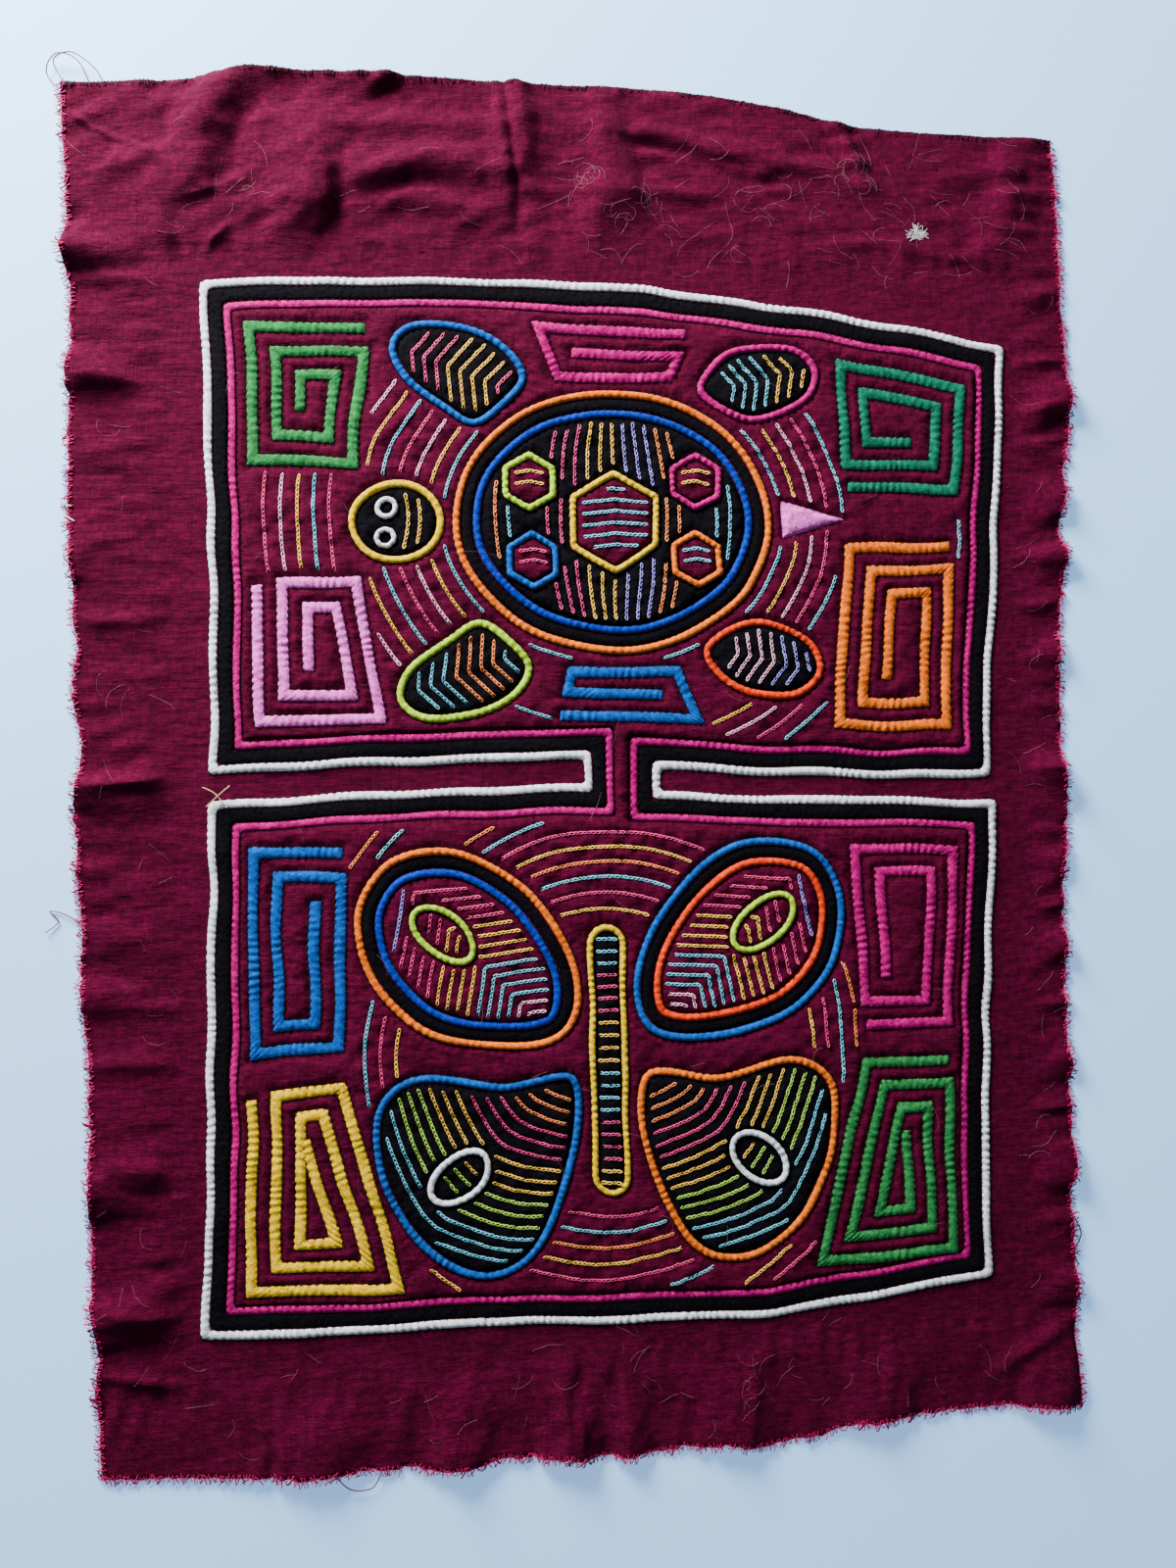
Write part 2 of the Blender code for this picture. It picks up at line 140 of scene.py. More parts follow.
# The four raw edges, each from its left or lower end. Columns: x, y
BOTTOM_EDGE = (
    (-202, -273), (-175, -275), (-123, -278), (-53, -279), (-29, -278), (5, -281), (46, -279),
    (66, -282), (87, -280), (102, -275), (141, -274), (181, -274), (202, -276),
)
RIGHT_EDGE = (
    (202, -276), (200, -245), (201, -220), (199, -181), (201, -168), (200, -135), (199, -93),
    (199, -52), (202, -19), (199, -6), (200, 16), (199, 50), (203, 83), (201, 96), (206, 139),
    (206, 167), (204, 192), (203, 241), (201, 263),
)
TOP_EDGE = (
    (-203, 274), (-154, 277), (-130, 282), (-77, 281), (-30, 280), (35, 279), (57, 277),
    (86, 273), (110, 267), (143, 265), (177, 264), (201, 263),
)
LEFT_EDGE = (
    (-202, -273), (-204, -237), (-202, -225), (-204, -207), (-204, -161), (-203, -107), (-205, -83),
    (-204, -60), (-206, -14), (-202, 17), (-205, 33), (-203, 55), (-205, 106), (-203, 159),
    (-201, 192), (-204, 207), (-202, 222), (-203, 274),
)
# Outside of the white line, beyond which the ground cloth shows. Columns: x, y
BORDER_EDGE = (
    (-164, -221), (-121, -223), (-52, -224), (10, -227), (67, -229), (114, -224), (164, -219),
    (164, -141), (167, -75), (171, -16),
    (119, -13.5), (53, -11), (27, -8.5), (27, 0), (53, -2), (119, -6.5), (168, -6),
    (169, 25), (174, 91), (177, 141), (179, 176),
    (91, 191), (26, 199), (-48, 201), (-102, 201), (-153, 198),
    (-152, 77), (-154, 3), (-85, 4.5), (-5, 5), (-5, -4.5), (-85, -5.5), (-155, -8),
    (-158, -101), (-160, -171),
)
HIDDEN_INSET = 3.0
# Soft folds. Columns: x, y, turn of its length in degrees, half length, half width, height
FOLDS = (
    (-146, 260, 52, 48, 17, 5.2), (-112, 234, 71, 48, 13, 3.8), (-88, 286, 0, 56, 14, 2.8),
    (-100, 240, 6, 100, 29, 2.2), (-61, 246, 0, 50, 11, 3.3), (-168, 216, 92, 26, 6, 2.5),
    (-176, 244, 30, 30, 7, 1.8), (-56, 228, 0, 36, 6, 2), (-29, 262, 86, 46, 10, 3.1),
    (11, 248, 90, 50, 14, 3.6), (58, 255, -10, 72, 9, 2.5), (117, 253, -54, 30, 8, 3.9),
    (182, 236, 72, 44, 15, 2.8), (-139, 251, 52, 44, 9, -1.8), (-101, 228, 74, 36, 9, -1.6),
    (-66, 236, 0, 46, 8, -1.2), (-203, 210, 4, 34, 11, 5.2), (-204, 160, 2, 28, 11, 3.8),
    (-204, 92, -3, 30, 14, 2.5), (-205, -2, 2, 46, 11, 4.5), (-204, -84, 3, 32, 13, 2.2),
    (-204, -158, 8, 38, 16, 3.8), (-203, -212, 12, 42, 16, 3.6), (205, 152, -4, 26, 11, 4.5),
    (202, 112, 3, 26, 11, 3.2), (203, 84, -2, 28, 11, 4.2), (200, 44, 2, 26, 11, 3),
    (201, -5, -3, 32, 12, 5.5), (200, -44, 3, 30, 11, 3), (199, -82, -2, 32, 12, 3.5),
    (200, -126, 3, 30, 11, 2.8), (200, -172, -3, 34, 13, 4.5), (200, -222, 2, 32, 13, 3),
    (-122, -276, 80, 36, 26, 5), (-62, -279, 96, 40, 19, 5.8), (-20, -279, 86, 46, 12, 5),
    (6, -281, 88, 40, 12, 3.8), (52, -280, 94, 38, 21, 4.5), (112, -274, 84, 36, 21, 3.8),
    (186, -275, 70, 34, 19, 5.2),
)
# Slow swells of the stiff sewn part. Same columns
SWELLS = (
    (-66, 110, 12, 92, 78, 0.8), (92, 96, -22, 82, 72, 0.7),
    (44, -128, 16, 96, 80, 0.8), (-96, -120, -10, 80, 74, 0.7),
)
# Pressed creases, up or down. Same columns
CREASES = (
    (-28, 254, 96, 60, 4, -2.2), (-22, 254, 96, 60, 8, 1), (9, 246, 89, 40, 6, 0.7),
    (57, 251, -10, 68, 4, -1), (111, 255, -48, 23, 4, -1.9), (187, 237, 71, 36, 5, -0.8),
    (-189, 257, -26, 19, 2.6, 1.5), (-173, 249, -36, 8, 2.6, 1.3), (-148, 210, 49, 20, 3.5, 2),
    (-120, 262, 12, 18, 5, 1.5), (-150, 234, 20, 16, 4.5, 1.5), (-84, 262, 5, 26, 5, 1.7),
    (150, 214, -8, 46, 6, 1.5), (-50, 262, 4, 40, 7, 1.7), (30, 236, -4, 50, 8, 1.7),
    (-189, 198, 2, 24, 5, 2.4), (-188, 158, -2, 24, 5, 2.2), (-182, 1, 1, 34, 4.5, 3),
    (-186, 132, 5, 20, 5, 1.5), (-188, 64, -3, 22, 6, 1.7), (-190, -60, 2, 22, 6, 1.5),
    (-186, -110, -4, 24, 6, 1.7), (-184, -209, -12, 28, 5, 2.6), (-184, -235, -10, 28, 5, 2.4),
    (183, -4, 4, 30, 4.5, 3.3), (184, -28, -6, 26, 5, 2.6), (190, 196, -3, 20, 5, 1.9),
    (192, 168, 3, 18, 4.5, 2.2), (190, 136, -2, 20, 4.5, 1.9), (188, 66, 3, 20, 4.5, 2),
    (186, 24, -2, 22, 4.5, 1.9), (186, -62, 2, 20, 4.5, 2), (187, -104, -3, 22, 4.5, 1.9),
    (186, -148, 2, 22, 4.5, 2.2), (187, -196, 3, 24, 5, 2.4), (180, -250, 30, 30, 6, 2.2),
    (-20, -262, 90, 26, 4, 1.5), (-12, -262, 90, 26, 4, -1.1), (6, -264, 92, 26, 5, 0.7),
    (60, -258, 84, 22, 6, 1.7), (120, -252, 96, 22, 6, 1.5), (-84, -256, 88, 24, 6, 1.7),
    (-140, -258, 100, 24, 6, 1.9), (-194, 198, -35, 15, 8, -1.8), (-184, -203, 15, 26, 9, 1.6),
    (-184, -223, 0, 24, 9, -1.3), (-180, -152, -16, 24, 7, 2), (-181, -163, -20, 24, 7, -1.6),
    (-118, -238, -87, 12, 5, 1.5), (192, 188, 10, 14, 5, -2.2), (194, 199, 6, 14, 5, 2.4),
    (192, 150, 6, 14, 5, 2.2), (192, 139, 6, 14, 5, -1.9),
)


def turned(x, y, degrees):
    """Places seen along and across a direction."""
    cos, sin = math.cos(math.radians(degrees)), math.sin(math.radians(degrees))
    return x * cos + y * sin, y * cos - x * sin


def soft_fold(across):
    """Height across a soft fold: a smooth mound."""
    return np.clip(1 - across**2, 0, 1) ** 2


def pressed_crease(across):
    """Height across a pressed crease: a narrow top with concave sides."""
    return np.clip(1 - np.abs(across), 0, 1) ** 1.5


def mounds(x, y, table, section):
    """Height of a table's folds at some places, each with the same section across."""
    rise = np.zeros(np.shape(x))
    for mid_x, mid_y, turn, half_length, half_width, height in table:
        along, across = turned(x - mid_x, y - mid_y, turn)
        rise += height * soft_fold(along / half_length) * section(across / half_width)
    return rise


def unevenness(seed, shortest, longest, count=12, lean=math.pi):
    """Smooth hand-made unevenness, from about -1 to 1: sine waves of random length and turn.

    A smaller lean keeps the waves closer to running across the panel.
    """
    draw = np.random.default_rng(seed)
    turn = math.pi / 2 + draw.uniform(-lean, lean, count)
    length = draw.uniform(shortest, longest, count)
    start = draw.uniform(0, math.tau, count)

    def at(x, y=0.0):
        x, y = (np.asarray(place, float)[..., None] for place in (x, y))
        waves = np.sin(math.tau * (x * np.cos(turn) + y * np.sin(turn)) / length + start)
        return waves.sum(-1) / math.sqrt(count)

    return at


margin_rumple = unevenness(11, 7, 26, 30, lean=0.5)
patches = unevenness(17, 30, 90)
sewn_rumple = unevenness(12, 14, 60, 18)
gathers = unevenness(15, 6, 15)
drift_x = unevenness(13, 22, 80)
drift_y = unevenness(14, 22, 80)
# Small wrinkles: their usual height, how much it varies from patch to patch, its limits, and the
# heights along the lower edge and at the right, times the usual one
WRINKLE_HEIGHT = 0.28
WRINKLE_SPREAD = 0.26
WRINKLE_LIMITS = (0.06, 0.7)
LOW_WRINKLES = 1.1
RIGHT_WRINKLES = 1.5
# In the upper left margin they slant by these degrees, from a place across the panel and more
# and more over a distance to its left. The last two are how deep the top and bottom fade in
WRINKLE_SLANT = 30
SLANT_START = 20
SLANT_FADE = 90
TOP_FADE = 20
LOW_FADE = 16
# How far the soft folds wander, slowly and in short gathers
FOLD_DRIFT = 3.2
FOLD_GATHERS = 0.7
MARGIN_LIFT = 0.5
# Puckers that the stitches of the outermost line pull into the margin, and how far they reach
PUCKER_HEIGHT = 0.55
PUCKER_START = 4
PUCKER_REACH = 12
SEWN_RUMPLE = 0.30
SEWN_LIFT = 0.2
SEWING_DRIFT = 0.5


def cloth_rise(x, y):
    """Height of the ground cloth's underside above the surface."""
    beyond_x = np.maximum(np.maximum(SEWN_LOW[0] - x, x - SEWN_HIGH[0]), 0)
    beyond_y = np.maximum(np.maximum(SEWN_LOW[1] - y, y - SEWN_HIGH[1]), 0)
    beyond = np.hypot(beyond_x, beyond_y)
    share = np.clip(beyond / MARGIN_FADE, 0, 1)
    share = share * share * (3 - 2 * share)
    low = np.clip(0.5 + (SEWN_LOW[1] - y) / LOW_FADE, 0, 1)
    slant = np.clip((SLANT_START - x) / SLANT_FADE, 0, 1)
    slant = slant * np.clip((y - SEWN_HIGH[1]) / TOP_FADE, 0, 1)
    right = np.clip(x / SEWN_HIGH[0], 0, 1)
    slanting = margin_rumple(*turned(x, y, WRINKLE_SLANT))
    rumple = margin_rumple(x, y) * (1 - low) * (1 - slant) + slanting * slant
    rumple = rumple * (1 + (RIGHT_WRINKLES - 1) * right) + LOW_WRINKLES * margin_rumple(y, x) * low
    stir = np.clip(WRINKLE_HEIGHT + WRINKLE_SPREAD * patches(x, y), *WRINKLE_LIMITS)
    bend_x, bend_y = drift_x(y, x), drift_y(y, x)
    bent_x = x + FOLD_DRIFT * bend_x + FOLD_GATHERS * gathers(x, y)
    bent_y = y + FOLD_DRIFT * bend_y + FOLD_GATHERS * gathers(y, x)
    loose = mounds(bent_x, bent_y, FOLDS, soft_fold) + stir * rumple + MARGIN_LIFT
    loose = loose + mounds(x + bend_x, y + bend_y, CREASES, pressed_crease)
    pulled_in = PUCKER_HEIGHT * gathers(np.where(beyond_y > beyond_x, x, y))
    pulled_in = pulled_in * np.exp(-beyond / PUCKER_REACH) * np.clip(beyond / PUCKER_START, 0, 1)
    stiff = mounds(x, y, SWELLS, soft_fold) + SEWN_RUMPLE * sewn_rumple(x, y) + SEWN_LIFT
    return np.maximum(loose * share + pulled_in + stiff, 0)


def placed(x, y, height):
    """Points in metres at a height over the ground cloth, with the drift of hand sewing."""
    across = x + SEWING_DRIFT * drift_x(x, y)
    along = y + SEWING_DRIFT * drift_y(x, y)
    return np.stack([across, along, cloth_rise(across, along) + height], -1) * MM


def along_edge(edge, outward, seed):
    """Points along an edge, wandering as a torn and frayed edge does."""
    edge = np.array(edge, float)
    length = np.concatenate([[0], np.cumsum(np.linalg.norm(np.diff(edge, axis=0), axis=1))])
    run = np.arange(0, length[-1], EDGE_STEP)
    points = np.stack([np.interp(run, length, edge[:, k]) for k in (0, 1)], -1)
    wander = EDGE_WANDER * unevenness(seed, 7, 30)(run) + EDGE_TEETH * unevenness(seed, 2.7, 6)(run)
    steady_ends = np.sin(math.pi * run / length[-1]) ** 0.3
    return points + (wander * steady_ends)[:, None] * np.array(outward)


# Marks of the cloth, in waves a millimetre. The first sets threads 0.45 mm apart
WEAVE_SCALE = 0.698
FUZZ_SCALE = 1.5
SLUB_SCALE = 1.3
BLOTCH_SCALE = 0.36
CREASING_SCALE = 0.2
FADE_SCALE = 0.022
# A slub's width as a share of its length
SLUB_STRETCH = 0.06
RELIEF = 0.5


def new_material(name):
    """A new material, and a function that adds a shader node to it."""
    material = bpy.data.materials.new(name)
    material.use_nodes = True

    def node(kind, values, **settings):
        made = material.node_tree.nodes.new("ShaderNode" + kind)
        for key, value in settings.items():
            setattr(made, key, value)
        fill_inputs(material.node_tree, made, values)
        return made.outputs

    return material, node


def tinted(colour, times, more=0.0):
    """A colour made deeper or lighter."""
    return (*(min(1, c * times + more) for c in colour), 1)


def cotton(name, colour, slub=0.0, wear=0.10, sheen=0.05, crinkle=1.2):
    """Dyed plain-weave cotton, with threads, fuzz, uneven dye and painted shade in its stitched grooves.

    Slub is how much its thick threads show, wear how uneven its dye is, and crinkle its relief.
    """
    material, node = new_material(name)

    def noise(scale, detail, place, roughness=0.5):
        values = {"Vector": place, "Scale": scale, "Detail": detail, "Roughness": roughness}
        return node("TexNoise", values)["Fac"]

    def total(*parts):
        result = 0.0
        for value, share in parts:
            result = node("Math", {0: value, 1: share, 2: result}, operation="MULTIPLY_ADD")[0]
        return result

    def blend(share, first, second):
        return node("Mix", {0: share, 6: first, 7: second}, data_type="RGBA")[2]

    def stretched(scale):
        return node("Mapping", {"Vector": place, "Scale": scale})[0]

    place = node("TexCoord", {})["Object"]
    place = node("VectorMath", {0: place, "Scale": 1 / MM}, operation="SCALE")[0]
    fuzz = noise(FUZZ_SCALE, 4.0, place, 0.7)
    blotch = noise(BLOTCH_SCALE, 4.0, place, 0.6)
    fade = noise(FADE_SCALE, 2.0, place)
    thread_marks, slub_marks = [], []
    for axis, stretch in (("X", (1.0, SLUB_STRETCH, 1.0)), ("Y", (SLUB_STRETCH, 1.0, 1.0))):
        values = {
            "Vector": place, "Scale": WEAVE_SCALE, "Distortion": 1.2, "Detail": 1.0, "Detail Scale": 0.8,
        }
        thread_marks.append((node("TexWave", values, bands_direction=axis)["Fac"], 0.5))
        slub_marks.append((noise(SLUB_SCALE, 2.0, stretched(stretch)), 0.5))
    weave, slubs = total(*thread_marks), total(*slub_marks)

    shade = total((fuzz, 0.55), (blotch, 0.75), (weave, 0.20))
    shade = node("MapRange", {0: shade, 1: 0.60, 2: 0.90})[0]
    dyed = blend(shade, tinted(colour, 0.50 - wear), tinted(colour, 1.45 + wear, wear * 0.012))
    dyed = blend(total((fade, 0.4)), dyed, tinted(colour, 1.30, 0.002))
    if slub:
        streak = node("MapRange", {0: slubs, 1: 0.38, 2: 0.62, 3: 0.0, 4: slub})[0]
        dyed = blend(streak, dyed, tinted(colour, 0.55))
    # Painted shade: the colour turns deep where stitches and seams draw the cloth into grooves
    groove_shade = node("Attribute", {}, attribute_name="groove_shade")["Fac"]
    shaded_in_grooves = blend(total((groove_shade, 0.72)), dyed, tinted(colour, 0.16))

    creasing = noise(CREASING_SCALE, 3.0, stretched((0.5, 1.5, 1.0) if slub else (2.2, 2.2, 1.0)))
    height = total(
        (weave, 0.30), (fuzz, 0.50), (slubs, 0.9 if slub else 0.3), (blotch, 0.8), (creasing, crinkle),
    )
    fill_inputs(material.node_tree, material.node_tree.nodes["Principled BSDF"], {
        "Base Color": shaded_in_grooves,
        "Normal": node("Bump", {"Height": height, "Strength": 1.0, "Distance": RELIEF * MM})[0],
        "Roughness": node("MapRange", {0: fuzz, 3: 0.78, 4: 0.96})[0],
        "Specular IOR Level": 0.04,
        "Sheen Weight": sheen,
        "Sheen Roughness": 0.4,
        "Sheen Tint": tinted(colour, 2, 0.25),
    })
    return material


BURGUNDY = (0.064, 0.0001, 0.0152)
COTTONS = {"burgundy": cotton("burgundy_ground_cotton", BURGUNDY, slub=0.42, sheen=0.01, crinkle=2.1)}
pieces = []


def add_piece(name, mesh):
    """Adds a mesh to the scene as a piece that rides with the panel."""
    piece = bpy.data.objects.new(name, mesh)
    bpy.context.scene.collection.objects.link(piece)
    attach(piece, "root")
    pieces.append(piece)
    return piece


def lay(name, vertices, faces, colour, replaced, groove_shade=None):
    """Makes a piece of cloth from its mesh, in the place of a plain solid."""
    mesh = bpy.data.meshes.new(name)
    mesh.from_pydata(vertices, [], faces)
    mesh.update()
    mesh.shade_smooth()
    # Painted shade: the mesh carries how far each point lies in a stitched groove, which darkens its colour
    if groove_shade is not None:
        attribute = mesh.attributes.new("groove_shade", "FLOAT", "POINT")
        attribute.data.foreach_set("value", np.clip(groove_shade, 0, 1).astype(np.float32))
    mesh.materials.append(COTTONS[colour])
    piece = add_piece(name, mesh)
    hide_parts(replaced)
    return piece


def inset(loop, distance):
    """A loop moved inwards by a distance, with mitred corners."""
    sides = [(Vector(b) - Vector(a)).normalized() for a, b in zip(loop, loop[1:] + loop[:1])]
    inward = [Vector((-side.y, side.x)) for side in sides]
    moved_in = []
    for i, point in enumerate(loop):
        mitre = (inward[i - 1] + inward[i]) / (1 + inward[i - 1].dot(inward[i]))
        moved_in.append(tuple(Vector(point) + mitre * distance))
    return moved_in


def inside(points, loop):
    """Which points lie inside a closed outline."""
    x, y = points[:, 0], points[:, 1]
    odd = np.zeros(len(points), bool)
    for (x0, y0), (x1, y1) in zip(loop, np.roll(loop, -1, 0)):
        if y0 != y1:
            odd ^= ((y0 > y) != (y1 > y)) & (x < (x1 - x0) * (y - y0) / (y1 - y0) + x0)
    return odd


def stepped(line, step, closed=False):
    """Points at an even step along a line."""
    line = np.array(list(line) + (list(line)[:1] if closed else []), float)
    run = np.concatenate([[0], np.cumsum(np.linalg.norm(np.diff(line, axis=0), axis=1))])
    at = np.linspace(0, run[-1], max(2, round(run[-1] / step) + 1))
    points = np.stack([np.interp(at, run, line[:, k]) for k in (0, 1)], -1)
    return points[:-1] if closed else points


def covered(points, shapes):
    """Which points lie under shapes, each a list of outlines: its outer one, then its holes."""
    under = np.zeros(len(points), bool)
    for shape in shapes:
        within = np.zeros(len(points), bool)
        for outline in shape:
            within ^= inside(points, outline)
        under |= within
    return under


def closed(outline):
    """An outline that ends where it starts."""
    return np.vstack([outline, outline[:1]])


def edges_of(shapes):
    """The outlines of shapes, their holes too."""
    return [closed(outline) for shape in shapes for outline in shape]


class Nearest:
    """Finds how far places are from a set of lines, and how far along the nearest line."""

    step = 0.8
    far_away = 1e6

    def __init__(self, lines):
        dense = [stepped(line, self.step) for line in lines]
        self.run = np.concatenate([self.step * np.arange(len(line)) for line in dense] or [[0]])
        spots = np.concatenate(dense) if dense else np.full((1, 2), self.far_away)
        self.tree = kdtree.KDTree(len(spots))
        for i, spot in enumerate(spots):
            self.tree.insert((*spot, 0), i)
        self.tree.balance()

    def distance(self, points):
        found = [self.tree.find((*point, 0)) for point in points]
        return np.array([hit[2] for hit in found]), self.run[[hit[1] for hit in found]]


def scattered(outline, cell, sparse=()):
    """Points in even rows inside an outline, four times as far apart under some shapes."""
    low, high = outline.min(0), outline.max(0)
    x, y = np.meshgrid(np.arange(low[0], high[0], cell), np.arange(low[1], high[1], cell * 0.87))
    x[1::2] += cell / 2
    few = np.zeros(x.shape, bool)
    few[::4, ::4] = True
    spots = np.stack([x.ravel(), y.ravel()], -1)
    return spots[inside(spots, outline) & (few.ravel() | ~covered(spots, sparse))]


def filled(outline, spots):
    """Triangles between an outline and the points in it."""
    vectors = [Vector(spot) for spot in np.concatenate([outline, spots])]
    flat, _, faces, *_ = geometry.delaunay_2d_cdt(vectors, [], [list(range(len(outline)))], 1, 1e-5)
    return np.array([tuple(spot) for spot in flat]), faces


def thicken(piece, thickness):
    """Gives a sheet its thickness, downwards."""
    body = piece.modifiers.new("cloth thickness", "SOLIDIFY")
    body.thickness = thickness * MM
    body.offset = -1.0


def middle_line(fold):
    """The ends of the line along the middle of a fold."""
    mid_x, mid_y, turn, half_length = fold[:4]
    reach = half_length * np.array([math.cos(math.radians(turn)), math.sin(math.radians(turn))])
    return [np.array([mid_x, mid_y]) - reach, np.array([mid_x, mid_y]) + reach]


raw_edges = [
    along_edge(BOTTOM_EDGE, (0, 1), 21), along_edge(RIGHT_EDGE, (1, 0), 24),
    along_edge(TOP_EDGE[::-1], (0, 0.25), 22), along_edge(LEFT_EDGE[::-1], (1, 0), 23),
]
outline = np.concatenate(raw_edges)
# The cloth under the sewn part doesn't show, so its mesh is coarse there
hidden = [[np.array(inset(BORDER_EDGE, HIDDEN_INSET))]]
sharp = Nearest([middle_line(crease) for crease in CREASES if crease[4] <= SHARP_CREASE])
spots, fine = scattered(outline, GROUND_CELL, hidden), scattered(outline, FINE_CELL, hidden)
spots = np.concatenate([
    spots[sharp.distance(spots)[0] > FINE_REACH_OF_CREASE],
    fine[sharp.distance(fine)[0] <= FINE_REACH_OF_CREASE],
])
spots = spots[Nearest([closed(outline)]).distance(spots)[0] > 0.6 * GROUND_CELL]
flat, faces = filled(outline, spots)
x, y = flat[:, 0], flat[:, 1]
points = np.stack([x, y, cloth_rise(x, y) + CLOTH], -1) * MM
ground = lay("ground_cotton", points, faces, "burgundy", "ground_cloth")
thicken(ground, CLOTH)

# White, black and pink lines
# Three cottons lie under the top cloth and show as lines round both compartments, with a slot let
# in from each side. Each edge is turned under and whip-stitched, so the line puffs up in beads.
GAP = 0.3
WHITE_WIDTH, BLACK_WIDTH, PINK_WIDTH = 3.6, 5.2, 3.2
STITCH_PITCH = 3.0
# Heights of feet above the ground cloth's underside
LAYER_FOOT = 0.9
FIELD_FOOT = 1.2
STITCH_LIFT = 0.3
CORNER_ROUNDING = 16
# A strip's section from side to side, with its shoulders, and how the stitches draw it in: the
# share of its width, the limits from stitch to stitch and how uneven the stitches are
SECTION = np.array([-1, -0.76, 0, 0.76, 1.0])
DRAWN_IN = 0.13
DRAW_LIMITS = (0.2, 1.2)
DRAW_SPREAD = 0.45
BEAT_WANDER = 0.3
# An open strip's end starts at this share of its height and rises over this length
END_SHARE = 0.25
END_LENGTH = 1.4
COTTONS["white"] = cotton("white_cotton", (0.80, 0.82, 0.90), wear=0.0)
COTTONS["black"] = cotton("black_cotton", (0.0020, 0.0013, 0.0030), wear=0.04, sheen=0.012, crinkle=1.8)
COTTONS["pink"] = cotton("pink_cotton", (0.36, 0.0002, 0.120), sheen=0.01)
beads = unevenness(31, 9, 31)
whip_lines = []


def whip(line, height):
    """Notes a stitched edge, for the whip stitches that are made at the end."""
    whip_lines.append(placed(line[:, 0], line[:, 1], height))


def between(first, second, share):
    """Places between two lines of points, at shares of the way across."""
    return first[:, None] * (1 - share[..., None]) + second[:, None] * share[..., None]


def sewn_strip(
    node, sides, colour, feet, crest, closed=True, pinch=0.6, step=0.6, fullness=4.5, rounding=3
):
    """A turned strip between two matching lines: puffed up, and drawn in by every stitch.

    Feet are the heights of its two sides and crest that of its middle. Pinch is the depth of its
    grooves, fullness how square its section is, and rounding how far its corners are eased.
    """
    sides = [np.array(list(side) + list(side)[:1] if closed else side, float) for side in sides]
    lengths = np.linalg.norm(np.diff(sum(sides) / 2, axis=0), axis=1)
    stations = [i + np.arange(n) / n for i, n in enumerate(np.maximum(1, lengths // step).astype(int))]
    stations = np.concatenate(stations + ([] if closed else [[len(lengths)]]))
    knots = np.arange(len(lengths) + 1)
    near, far = (
        np.stack([np.interp(stations, knots, side[:, k]) for k in (0, 1)], -1) for side in sides
    )
    for line in (near, far):
        for _ in range(rounding):
            eased = (np.roll(line, 1, 0) + 2 * line + np.roll(line, -1, 0)) / 4
            line[1:-1] = eased[1:-1]
            if closed:
                line[[0, -1]] = eased[[0, -1]]
    share = (1 + SECTION) / 2 + np.zeros((len(near), 1))
    flat = between(near, far, share)
    middle = sum(sides) / 2
    knot = np.minimum(stations.astype(int), len(lengths) - 1)
    way = (np.diff(middle, axis=0) / lengths[:, None])[knot]
    runs = np.concatenate([[0], np.cumsum(lengths)])
    run = runs[knot][:, None] + ((flat - middle[knot][:, None]) * way[:, None]).sum(-1)
    pitch = runs[-1] / max(1, round(runs[-1] / STITCH_PITCH))
    drawn = 0
    for side in (-1, 1):
        # Each strip and side has its own place in the unevenness
        place = len(pieces) * 7.0 + 23 * side
        beat = run / pitch + BEAT_WANDER * beads(run, place) + 0.15 * side
        beat = 0.5 + 0.5 * np.cos(math.tau * beat)
        depth = np.clip(0.8 + DRAW_SPREAD * beads(run, place + 90), *DRAW_LIMITS)
        drawn = drawn + depth * beat**1.3 * ((1 + side * SECTION) / 2) ** 1.2
    flat = between(near, far, share + (0.5 - share) * DRAWN_IN * drawn)
    foot = feet[0] + (feet[1] - feet[0]) * (1 + SECTION) / 2
    puff = (1 - np.abs(SECTION) ** fullness) * (1 - pinch * drawn)
    if not closed:
        from_end = np.minimum(run, runs[-1] - run)
        puff = puff * np.clip(END_SHARE + from_end / END_LENGTH, 0, 1)
    height = foot + (crest - foot) * puff
    vertices = placed(flat[..., 0], flat[..., 1], height).reshape(-1, 3)
    # Painted shade along the strip's edges and in the grooves that its stitches draw in
    groove_shade = 0.6 * np.abs(SECTION) ** 6 + 0.35 * pinch * drawn
    count, ring = run.shape
    corner = np.arange(count * ring).reshape(count, ring)
    following = np.roll(corner, -1, 0)
    if not closed:
        corner, following = corner[:-1], following[:-1]
    faces = []
    for j in range(ring):
        k = (j + 1) % ring
        faces += np.stack([corner[:, j], following[:, j], following[:, k], corner[:, k]], -1).tolist()
    if not closed:
        faces += [list(range(ring)), [count * ring - 1 - j for j in range(ring)]]
    lay("sewn_" + node, vertices, faces, colour, node, groove_shade.ravel())
    return near, far


loop = list(BORDER_EDGE)
# Columns: colour, width, feet of its two sides, crest, pinch, fullness
BORDER_LINES = (
    ("white", WHITE_WIDTH, (CLOTH, LAYER_FOOT), 1.9, 0.75, 3.4),
    ("black", BLACK_WIDTH, (LAYER_FOOT, LAYER_FOOT), 1.25, 0.5, 8.0),
    ("pink", PINK_WIDTH, (LAYER_FOOT, FIELD_FOOT), 1.8, 0.7, 3.4),
)
for colour, width, feet, crest, pinch, fullness in BORDER_LINES:
    near, far = sewn_strip(
        "border_" + colour, (loop, inset(loop, width)), colour, feet, crest, pinch=pinch,
        fullness=fullness, rounding=CORNER_ROUNDING,
    )
    if colour != "black":
        whip(near, feet[0] + STITCH_LIFT)
        whip(far, feet[1] + STITCH_LIFT)
    loop = inset(loop, width + GAP)
field_edge = loop

